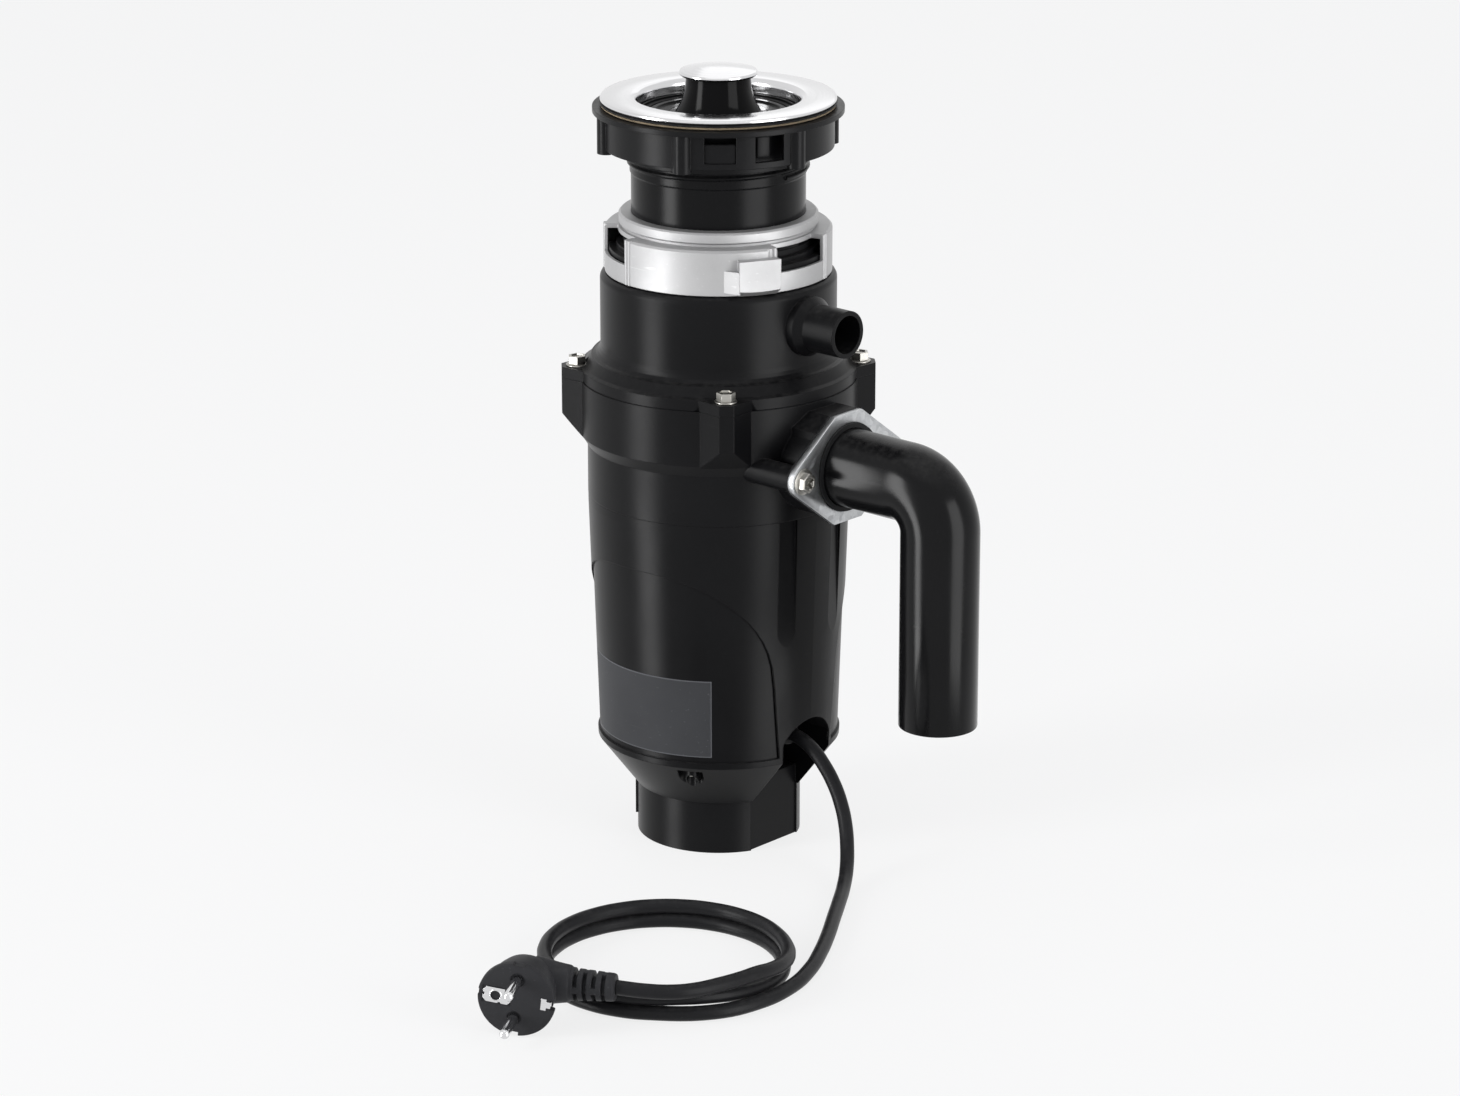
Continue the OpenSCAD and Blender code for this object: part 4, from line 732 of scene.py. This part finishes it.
class DISPOSER_OT_cord(bpy.types.Operator):
    """Lays the supply cord from the gland to the plug on one smooth curve"""
    bl_idname = "disposer.cord"
    bl_label = "Supply cord"

    def execute(self, context):
        points = CORD_LEAD + coil_points() + [on_coil(*place) for place in COIL_END] + CORD_TAIL
        curve = bpy.data.curves.new("supply_cord", "CURVE")
        curve.dimensions = "3D"
        curve.bevel_depth = sizes().cord_width / 2
        curve.bevel_resolution = 6
        curve.resolution_u = curve.render_resolution_u = 6
        curve.use_fill_caps = True
        line = curve.splines.new("BEZIER")
        line.bezier_points.add(len(points) - 1)
        for knot, point in zip(line.bezier_points, points):
            knot.co = Vector(point) * MM
            knot.handle_left_type = knot.handle_right_type = "AUTO"
        curve.materials.append(finishes()["sheath"])
        cord = bpy.data.objects.new("supply_cord", curve)
        context.scene.collection.objects.link(cord)
        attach(cord, "unit")
        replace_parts(cord, "cord_lead", "cord_coil", "cord_tail")
        Vector(points[0]) * MM
        return {"FINISHED"}


# Stage, in metres, degrees and watts

CAMERA_PLACE = (1.5868, -1.7540, 0.9054)
CAMERA_TURN = (72.19, 0, 42)
CAMERA_REACH = 60
LENS = 124.05
FLOOR_SIZE = 14
FLOOR_DROP = 0.2 * MM
FLOOR_GLOW = 0.8
LIT_POINT = Vector((0.03, -0.03, 0.18))
# Name, direction, distance, height, width and height of the lamp, and power
LAMPS = (("strip", -114, 2.6, 0.15, (0.8, 3.4), 110), ("softbox", 2, 2.6, 0.15, (1.5, 3.4), 75),
         ("back", 118, 2.6, 1.9, (1.8, 1.8), 4), ("top", -48, 0.5, 3.0, (2.2, 2.2), 6))


def straight_rays(tree):
    """1 for the rays of the camera, of reflections and of glass, and 0 for the light itself."""
    rays = add_node(tree, "ShaderNodeLightPath").outputs
    mirrored = maths(tree, "MAXIMUM", rays["Is Glossy Ray"], rays["Is Transmission Ray"])
    return maths(tree, "MAXIMUM", rays["Is Camera Ray"], mirrored)


def floor_finish():
    """Pale floor with a glow that only straight rays see."""
    f = Finish("Pale floor", {"Roughness": 0.6, "Base Color": (0.8, 0.8, 0.8, 1)})
    seen = straight_rays(f.tree)
    glow = f.node("ShaderNodeEmission", {"Color": (1, 1, 1, 1), "Strength": 1.0})
    mixed = f.node("ShaderNodeMixShader", {"Fac": f.maths("MULTIPLY", seen, FLOOR_GLOW),
                                           1: f.shader.outputs[0], 2: glow.outputs[0]})
    f.tree.links.new(mixed.outputs[0], f.tree.nodes["Material Output"].inputs["Surface"])
    return f.material


def floor():
    b = bmesh.new()
    bmesh.ops.create_grid(b, x_segments=1, y_segments=1, size=FLOOR_SIZE)
    mesh = bpy.data.meshes.new("floor")
    b.to_mesh(mesh)
    b.free()
    mesh.materials.append(floor_finish())
    piece = bpy.data.objects.new("floor", mesh)
    piece.location.z = -FLOOR_DROP
    piece.visible_glossy = False
    bpy.context.scene.collection.objects.link(piece)


def world():
    """White to straight rays, and softer and cooler as a light."""
    scene = bpy.context.scene
    scene.world = scene.world or bpy.data.worlds.new("world")
    scene.world.use_nodes = True
    tree = scene.world.node_tree
    tree.nodes.clear()
    seen = straight_rays(tree)
    soft = add_node(tree, "ShaderNodeBackground", {"Color": (0.9, 0.93, 1, 1), "Strength": 0.45})
    white = add_node(tree, "ShaderNodeBackground", {"Color": (1, 1, 1, 1), "Strength": 1.0})
    mixed = add_node(tree, "ShaderNodeMixShader", {0: seen, 1: soft.outputs[0], 2: white.outputs[0]})
    out = add_node(tree, "ShaderNodeOutputWorld", {"Surface": mixed.outputs[0]})
    out.is_active_output = True


class DISPOSER_OT_stage(bpy.types.Operator):
    """Sets the camera, the lamps, the world and a pale floor"""
    bl_idname = "disposer.stage"
    bl_label = "Stage"

    def execute(self, context):
        scene = context.scene
        lens = bpy.data.cameras.new("camera")
        lens.lens = LENS
        lens.clip_end = CAMERA_REACH
        camera = bpy.data.objects.new("camera", lens)
        camera.location = CAMERA_PLACE
        camera.rotation_euler = [math.radians(a) for a in CAMERA_TURN]
        scene.collection.objects.link(camera)
        scene.camera = camera
        scene.view_settings.view_transform = "Standard"
        floor()
        world()
        for name, azimuth, distance, height, size, power in LAMPS:
            lamp = bpy.data.lights.new(name, "AREA")
            lamp.shape = "RECTANGLE"
            lamp.size, lamp.size_y = size
            lamp.energy = power
            holder = bpy.data.objects.new(name, lamp)
            side = math.radians(azimuth)
            holder.location = (distance * math.cos(side), distance * math.sin(side), height)
            aim = LIT_POINT - holder.location
            holder.rotation_euler = aim.to_track_quat("-Z", "Y").to_euler()
            scene.collection.objects.link(holder)
        return {"FINISHED"}


# Rating plate

WALL_FOOT, WALL_HEIGHT = 51.0, 121.5
WALL_FOOT_R, WALL_FLARE = 60.1, 4.0
PANEL_LOW, PANEL_TOP = 56.7, 97.0
PANEL_START, PANEL_SPAN = -131, 80
PANEL_DEPTH = 1.0
PANEL_R = 60


def plate_shape(proud, edge):
    """A curved sheet laid on the arched panel, standing proud of it, with its edge moved outwards."""
    inlaid, margin, margin_turn = 0.3, 0.8, 0.7
    low, high = PANEL_LOW + margin - edge, PANEL_TOP - margin + edge
    outline = [(WALL_FOOT_R + WALL_FLARE * (z - WALL_FOOT) / WALL_HEIGHT - PANEL_DEPTH + out, z)
               for out, z in ((-inlaid, low), (proud, low), (proud, high), (-inlaid, high))]
    past = math.degrees(edge / PANEL_R)
    b = spun(outline, 30, PANEL_START + margin_turn - past, PANEL_SPAN - 2 * margin_turn + 2 * past)
    return rounded(b, 0.1, 1, 60)


class DISPOSER_OT_plate(bpy.types.Operator):
    """Lays the bare rating plate on the arched panel, on a lighter border that is a painted highlight of its
    edge
    """
    bl_idname = "disposer.plate"
    bl_label = "Rating plate"

    def execute(self, context):
        added("rating_plate", "plate", "motor_housing", plate_shape(0.18, 0.0))
        # The border sticks out round the plate in a lighter grey: a painted highlight of the plate's edge
        added("rating_plate_painted_highlight", "plate_edge_highlight", "motor_housing", plate_shape(0.11, 0.55))
        return {"FINISHED"}


# Fasteners: each is made with its head up along the Z axis, then put in its places

LUG_CIRCLE, LUG_ANGLES = 69, (45, 135, 225, 315)
HOUSING_SCREW_CIRCLE, HOUSING_SCREW_ANGLES = 53.5, (-62, 58, 178)
COVER_SCREW_CIRCLE, COVER_SCREW_ANGLES = 31, (90, 210, 330)
PORT_HEIGHT, PORT_SCREW_SIDE = 204.5, 33.2


def around(r, angles):
    """Places on a circle about the axis of the unit."""
    return [turn(a, "Z") @ move(r, 0, 0) for a in angles]


def shank(r, low, top, steps, tip=(0, 0)):
    """The stem of a screw, with a chamfer of some width and height at its tip."""
    width, height = tip
    chamfer = [(r - width, low), (r, low + height)] if height else [(r, low)]
    return spun([(0, low), *chamfer, (r, top), (0, top)], steps)


def washer(seat, *points):
    """Flange of a head from points of radius and height over its seat."""
    return spun([(0, seat), *((r, seat + up) for r, up in points)], 40)


def hex_head(across, low, high, dish):
    """Hexagon head with chamfered corners and a dished top."""
    chamfer, rim, slope = 0.5, 0.9, 0.25
    b = peg(bmesh.new(), across, high - low, move(0, 0, (low + high) / 2), 6)
    top = [e for e in b.edges if all(v.co.z > (high - 0.01) * MM for v in e.verts)]
    rounded(b, chamfer, 2, 20, edges=top)
    cap = max((f for f in b.faces if f.normal.z > 0.9), key=lambda f: f.calc_area())
    bmesh.ops.inset_region(b, faces=[cap], thickness=rim * MM, depth=0.0)
    bmesh.ops.inset_region(b, faces=[cap], thickness=slope * MM, depth=-dish * MM)
    return b


def cross_recess(width, reach, top, depth):
    """Tool for the cross in a screw's head."""
    half = width / 2
    tool = blocks(((-reach, -half, top - depth), (reach, half, top + 1)),
                  ((-half, -reach, top - depth), (half, reach, top + 1)))
    return peg(tool, width * 0.5, depth, move(0, 0, top - depth / 2 + 0.05), 16, width * 1.1)


def lug_bolt():
    seat = 240.52
    return merged(shank(2.5, 222, seat + 0.38, 24, (0.4, 0.5)),
                  washer(seat, (5.3, 0), (5.5, 0.23), (5.45, 0.58), (4.7, 1.08), (0, 1.23)),
                  hex_head(4.6, seat + 0.88, 245.45, 0.7))


def discharge_screw():
    seat = 84.02
    head = carved(hex_head(4.9, seat + 0.58, 88.38, 0.35), cross_recess(1.5, 3.2, 88.3, 2.2))
    return merged(shank(2.4, 68, seat + 0.48, 24, (0.4, 0.6)), head,
                  washer(seat, (6.15, 0), (6.4, 0.28), (6.3, 0.68), (5.0, 1.03), (0, 1.08)))


def housing_screw():
    top, r = -45.0, 2.4
    pan = spun([(0, top - 2), (r, top - 2), (r, top - 0.9), (r - 0.4, top - 0.3), (r - 1.2, top - 0.02),
                (0, top)], 32)
    head = carved(pan, cross_recess(0.7, 1.5, top - 0.1, 1.1))
    return merged(head, shank(1.5, top - 13, top - 1.5, 20))


def cover_screw():
    top, r = -0.3, 3.0
    flat = spun([(0, top - 1.5), (r / 2, top - 1.5), (r, top - 0.2), (r, top), (0, top)], 32)
    head = carved(flat, cross_recess(0.8, 1.9, top - 0.05, 1.0))
    return merged(head, shank(1.48, top - 8.7, top - 1.3, 20))


class DISPOSER_OT_fasteners(bpy.types.Operator):
    """Makes the lug bolts, the discharge screws and the screws under the housing"""
    bl_idname = "disposer.fasteners"
    bl_label = "Bolts and screws"

    def execute(self, context):
        outwards = turn(90, "Y") @ turn(28, "Z")
        over = turn(180, "X")
        at_port = [move(0, side * PORT_SCREW_SIDE, PORT_HEIGHT) @ outwards for side in (-1, 1)]
        under_housing = [place @ over for place in around(HOUSING_SCREW_CIRCLE, HOUSING_SCREW_ANGLES)]
        under_cover = [place @ over for place in around(COVER_SCREW_CIRCLE, COVER_SCREW_ANGLES)]
        for name, node, shape, places in (
                ("lug_bolts_plated", "lug_bolts", lug_bolt(), around(LUG_CIRCLE, LUG_ANGLES)),
                ("discharge_screws_plated", "discharge_screws", discharge_screw(), at_port),
                ("housing_screws_plated", "housing_screws", housing_screw(), under_housing),
                ("cover_screws_plated", "bottom_cover_screws", cover_screw(), under_cover)):
            stand_in(name, "zinc", node, copies(shape, places))
        return {"FINISHED"}


# Sink mount and stopper

THREAD_ROOT, THREAD_CREST = 42.9, 44.2
THREAD_START, THREAD_LENGTH = 339.8, 26
STEPS_PER_TURN = 64


def sleeve_tube():
    """The threaded sleeve without its thread: lip at the foot, ledge and seat inside."""
    bore, neck, root, seat_r, ledge_r, lip_r = 38.8, 42.3, THREAD_ROOT, 40.4, 36.2, 46.6
    foot, shoulder, thread_low, top = 305.82, 307.81, 337.6, 367.8
    ledge_low, ledge_top, seat = 353.4, 359, 362.4
    return spun([(bore, foot), (lip_r - 0.25, foot), (lip_r, foot + 0.28), (lip_r, shoulder - 0.21),
                 (lip_r - 0.3, shoulder), (neck, shoulder), (neck, thread_low - 0.8), (root, thread_low),
                 (root, top - 0.4), (root - 0.4, top), (seat_r, top), (seat_r, seat), (bore, seat),
                 (bore, ledge_top), (ledge_r + 0.3, ledge_top), (ledge_r, ledge_top - 0.3),
                 (ledge_r, ledge_low + 2.8), (bore, ledge_low)], 128)


def thread():
    """The helical ridge of the sleeve, from its profile at the first turn."""
    pitch = sizes().thread_pitch
    turns = int(THREAD_LENGTH * MM / pitch)
    ridge = bmesh.new()
    flank = [(THREAD_ROOT - 0.1, 1.4), (THREAD_CREST - 0.3, 0.6), (THREAD_CREST, 0.3)]
    profile = [(r, THREAD_START - half) for r, half in flank]
    profile += [(r, THREAD_START + half) for r, half in flank[::-1]]
    verts = [ridge.verts.new(Vector((r, 0, z)) * MM) for r, z in profile]
    loop = [ridge.edges.new(pair) for pair in zip(verts, verts[1:] + verts[:1])]
    bmesh.ops.spin(ridge, geom=verts + loop, cent=(0, 0, 0), axis=(0, 0, 1),
                   dvec=(0, 0, pitch / STEPS_PER_TURN), angle=math.tau * turns, steps=STEPS_PER_TURN * turns,
                   use_merge=False, use_duplicate=False)
    closed(ridge)
    return ridge


def window_panel(angle):
    """A thin curved panel in a window of the nut's skirt."""
    inner, outer, low, top, span = 53.7, 55.0, 352.8, 362.3, 15.4
    outline = [(inner, low), (outer, low), (outer, top - 0.4), (outer - 0.4, top), (inner, top)]
    return spun(outline, 8, angle - span / 2, span)


def window_block(angle):
    """A block behind a window of the nut's skirt."""
    inner, outer, half_width, low, top = 47.2, 52.6, 3.2, 354.4, 364.6
    b = blocks(((inner, -half_width, low), (outer, half_width, top)))
    return moved(rounded(b, 0.3, 2, 30), turn(angle, "Z"))


class DISPOSER_OT_sleeve(bpy.types.Operator):
    """Cuts the thread on the sleeve and fits the panels in the windows of the nut"""
    bl_idname = "disposer.sleeve"
    bl_label = "Threaded sleeve and nut"

    def execute(self, context):
        stand_in("threaded_sleeve_cut", "gloss", "threaded_sleeve", merged(sleeve_tube(), thread()))
        panels = merged(*(window_panel(angle) for angle in (-47, 73, 193)),
                        *(window_block(angle) for angle in (-24, 96, 216)))
        added("nut_panels", "nut", "mounting_nut", panels)
        return {"FINISHED"}


def sink_flange():
    """Sheet rolled over from the drain's throat to a turned-down rim."""
    throat, foot, rim, top = 39.2, 362.41, 57, 374
    roll = arc((42.6, 370.5), (3.4, 3.5), range(180, 89, -10))
    under = arc((42.5, 370.2), (2.3, 2.2), range(90, 181, 10))
    edge = [(rim - 1.4, top), (rim - 0.5, top - 0.15), (rim - 0.1, top - 0.5), (rim, top - 0.9),
            (rim, top - 1.3), (rim - 0.2, top - 1.6)]
    return spun([(throat + 1, foot), (throat, foot), *roll, *edge, *under], 160)


def flange_gasket():
    """Rubber ring with a groove in its rim."""
    bore, rim, low, top = 46.2, 57.2, 370.81, 372.39
    return spun([(bore, low), (rim - 0.3, low), (rim, low + 0.19), (rim, low + 0.49),
                 (rim - 0.3, low + 0.69), (rim - 1.3, low + 0.79), (rim - 1.3, top - 0.49),
                 (rim - 0.6, top - 0.39), (rim - 0.5, top), (bore, top)], 128)


def fibre_ring():
    bore, rim, low, top = 45.2, 56.7, 369.41, 370.79
    return spun([(bore, low), (rim - 0.9, low), (rim - 0.3, low + 0.29), (rim, low + 0.59),
                 (rim, top - 0.39), (rim - 0.5, top), (bore, top)], 128)


class DISPOSER_OT_mount(bpy.types.Operator):
    """Rolls the sink flange, presses its two gaskets and softens the discharge plate and elbow"""
    bl_idname = "disposer.mount"
    bl_label = "Flange, gaskets, discharge plate and elbow"

    def execute(self, context):
        stand_in("sink_flange_rolled", "polished", "sink_flange", sink_flange())
        stand_in("flange_gasket_lipped", "rubber", "flange_gasket", flange_gasket())
        stand_in("fibre_ring_pressed", "fibre", "fibre_gasket", fibre_ring())
        softened("discharge_plate_cut", "spangle", "discharge_flange", 0.3)
        softened("discharge_elbow_moulded", "pipe", "discharge_elbow", 0.5)
        return {"FINISHED"}


class DISPOSER_OT_stopper(bpy.types.Operator):
    """Moulds the stopper's dished disc and its waisted stem"""
    bl_idname = "disposer.stopper"
    bl_label = "Stopper"

    def execute(self, context):
        r, boss, low, top = 34.5, 23.2, 362.31, 365.91
        disc = [(0, low), (r - 0.6, low), (r, low + 0.6), (r, top - 0.6), (r - 0.6, top), (r - 3.1, top),
                (r - 3.7, top - 0.9), (boss + 1.4, top - 1.3), (boss + 0.7, top - 0.3), (boss, top)]
        waist, foot_flare, knob_flare, stem_foot, knob = 15.2, 5.5, 0.5, top + 0.2, 384.0
        stem = [(waist + foot_flare * (1 - t) ** 2.2 + knob_flare * t, stem_foot + (knob - stem_foot) * t)
                for t in (step / 12 for step in range(13))]
        stand_in("stopper_moulded", "stopper", "stopper_body", spun(disc + stem + [(0, knob)], 96))
        return {"FINISHED"}


class DISPOSER_OT_gland(bpy.types.Operator):
    """Turns the ribbed strain relief in the arch of the housing"""
    bl_idname = "disposer.gland"
    bl_label = "Cord gland"

    def execute(self, context):
        flange_r, inside, r, first, pitch, end, height = 9.2, 23.4, 7.1, 30.4, 2.7, 47.95, 60
        outline = [(0, inside), (flange_r, inside), (flange_r, inside + 1.9), (r + 0.2, inside + 2.1),
                   (r, first)]
        for ring in range(6):
            x = first + pitch * ring
            rib = r - 0.19 * ring
            outline += [(rib - 1.1, x + 0.1), (rib - 1.1, x + 1.0), (rib - 0.15, x + 1.2),
                        (rib - 0.2, x + 2.6)]
        outline += [(5.6, end - 0.35), (5.2, end), (0, end)]
        stand_in("cord_gland_ribbed", "rubber", "cord_gland",
                 moved(spun(outline, 40), move(0, 0, height) @ turn(90, "Y")))
        return {"FINISHED"}


# Finishes of the frame nodes that stay in view

NODES_BY_FINISH = {
    "moulding": ("motor_housing", "bottom_cover", "grind_housing", "hopper"),
    "nut": ("mounting_nut",),
    "zinc": ("end_frame_screws", "motor_can", "turntable_nut"),
    "rubber": ("housing_seal", "shaft_seal", "splash_guard", "cushion_ring", "discharge_gasket", "pipe_seal",
               "stopper_seal"),
    "ground": ("grind_ring", "turntable", "impeller_a", "impeller_b"),
    "polished": ("impeller_pins", "shaft", "upper_bearing", "lower_bearing", "brush_springs", "stopper_cap"),
    "casting": ("upper_end_frame", "lower_end_frame", "mount_ring"),
    "magnet": ("field_magnets", "brushes"),
    "core": ("rotor_core",),
    "copper": ("windings",),
    "brass": ("commutator", "brush_holders"),
    "button": ("reset_button",),
    "board": ("rectifier", "overload_protector"),
}
NODE_FINISH = {node: finish for finish, nodes in NODES_BY_FINISH.items() for node in nodes}


class DISPOSER_OT_finishes(bpy.types.Operator):
    """Gives every frame node that is still shown its finish"""
    bl_idname = "disposer.finishes"
    bl_label = "Finishes of the frame"

    def execute(self, context):
        for name, piece in frame["nodes"].items():
            if piece.hide_render:
                continue
            piece.data.materials.clear()
            piece.data.materials.append(finishes()[NODE_FINISH[name]])
        return {"FINISHED"}


class DISPOSER_PT_panel(bpy.types.Panel):
    """Lists the pieces, the sizes and the colours"""
    bl_idname = "DISPOSER_PT_panel"
    bl_label = "Food waste disposer"
    bl_space_type = "VIEW_3D"
    bl_region_type = "UI"
    bl_category = "Disposer"

    def draw(self, context):
        column = self.layout.column()
        for operator in STEPS:
            column.operator(operator.bl_idname)
        for group in (sizes(), colours()):
            for key in group.__annotations__:
                column.prop(group, key)


STEPS = [DISPOSER_OT_stage, DISPOSER_OT_plug, DISPOSER_OT_cord, DISPOSER_OT_plate, DISPOSER_OT_fasteners,
         DISPOSER_OT_sleeve, DISPOSER_OT_mount, DISPOSER_OT_stopper, DISPOSER_OT_gland, DISPOSER_OT_finishes]
CLASSES = [DisposerSizes, DisposerColours, *STEPS, DISPOSER_PT_panel]


def register():
    for cls in CLASSES:
        bpy.utils.register_class(cls)
    bpy.types.Scene.disposer_sizes = PointerProperty(type=DisposerSizes)
    bpy.types.Scene.disposer_colours = PointerProperty(type=DisposerColours)


def unregister():
    del bpy.types.Scene.disposer_sizes
    del bpy.types.Scene.disposer_colours
    for cls in reversed(CLASSES):
        bpy.utils.unregister_class(cls)


def main():
    register()
    for operator in STEPS:
        group, name = operator.bl_idname.split(".")
        getattr(getattr(bpy.ops, group), name)()


if __name__ == "__main__":
    main()
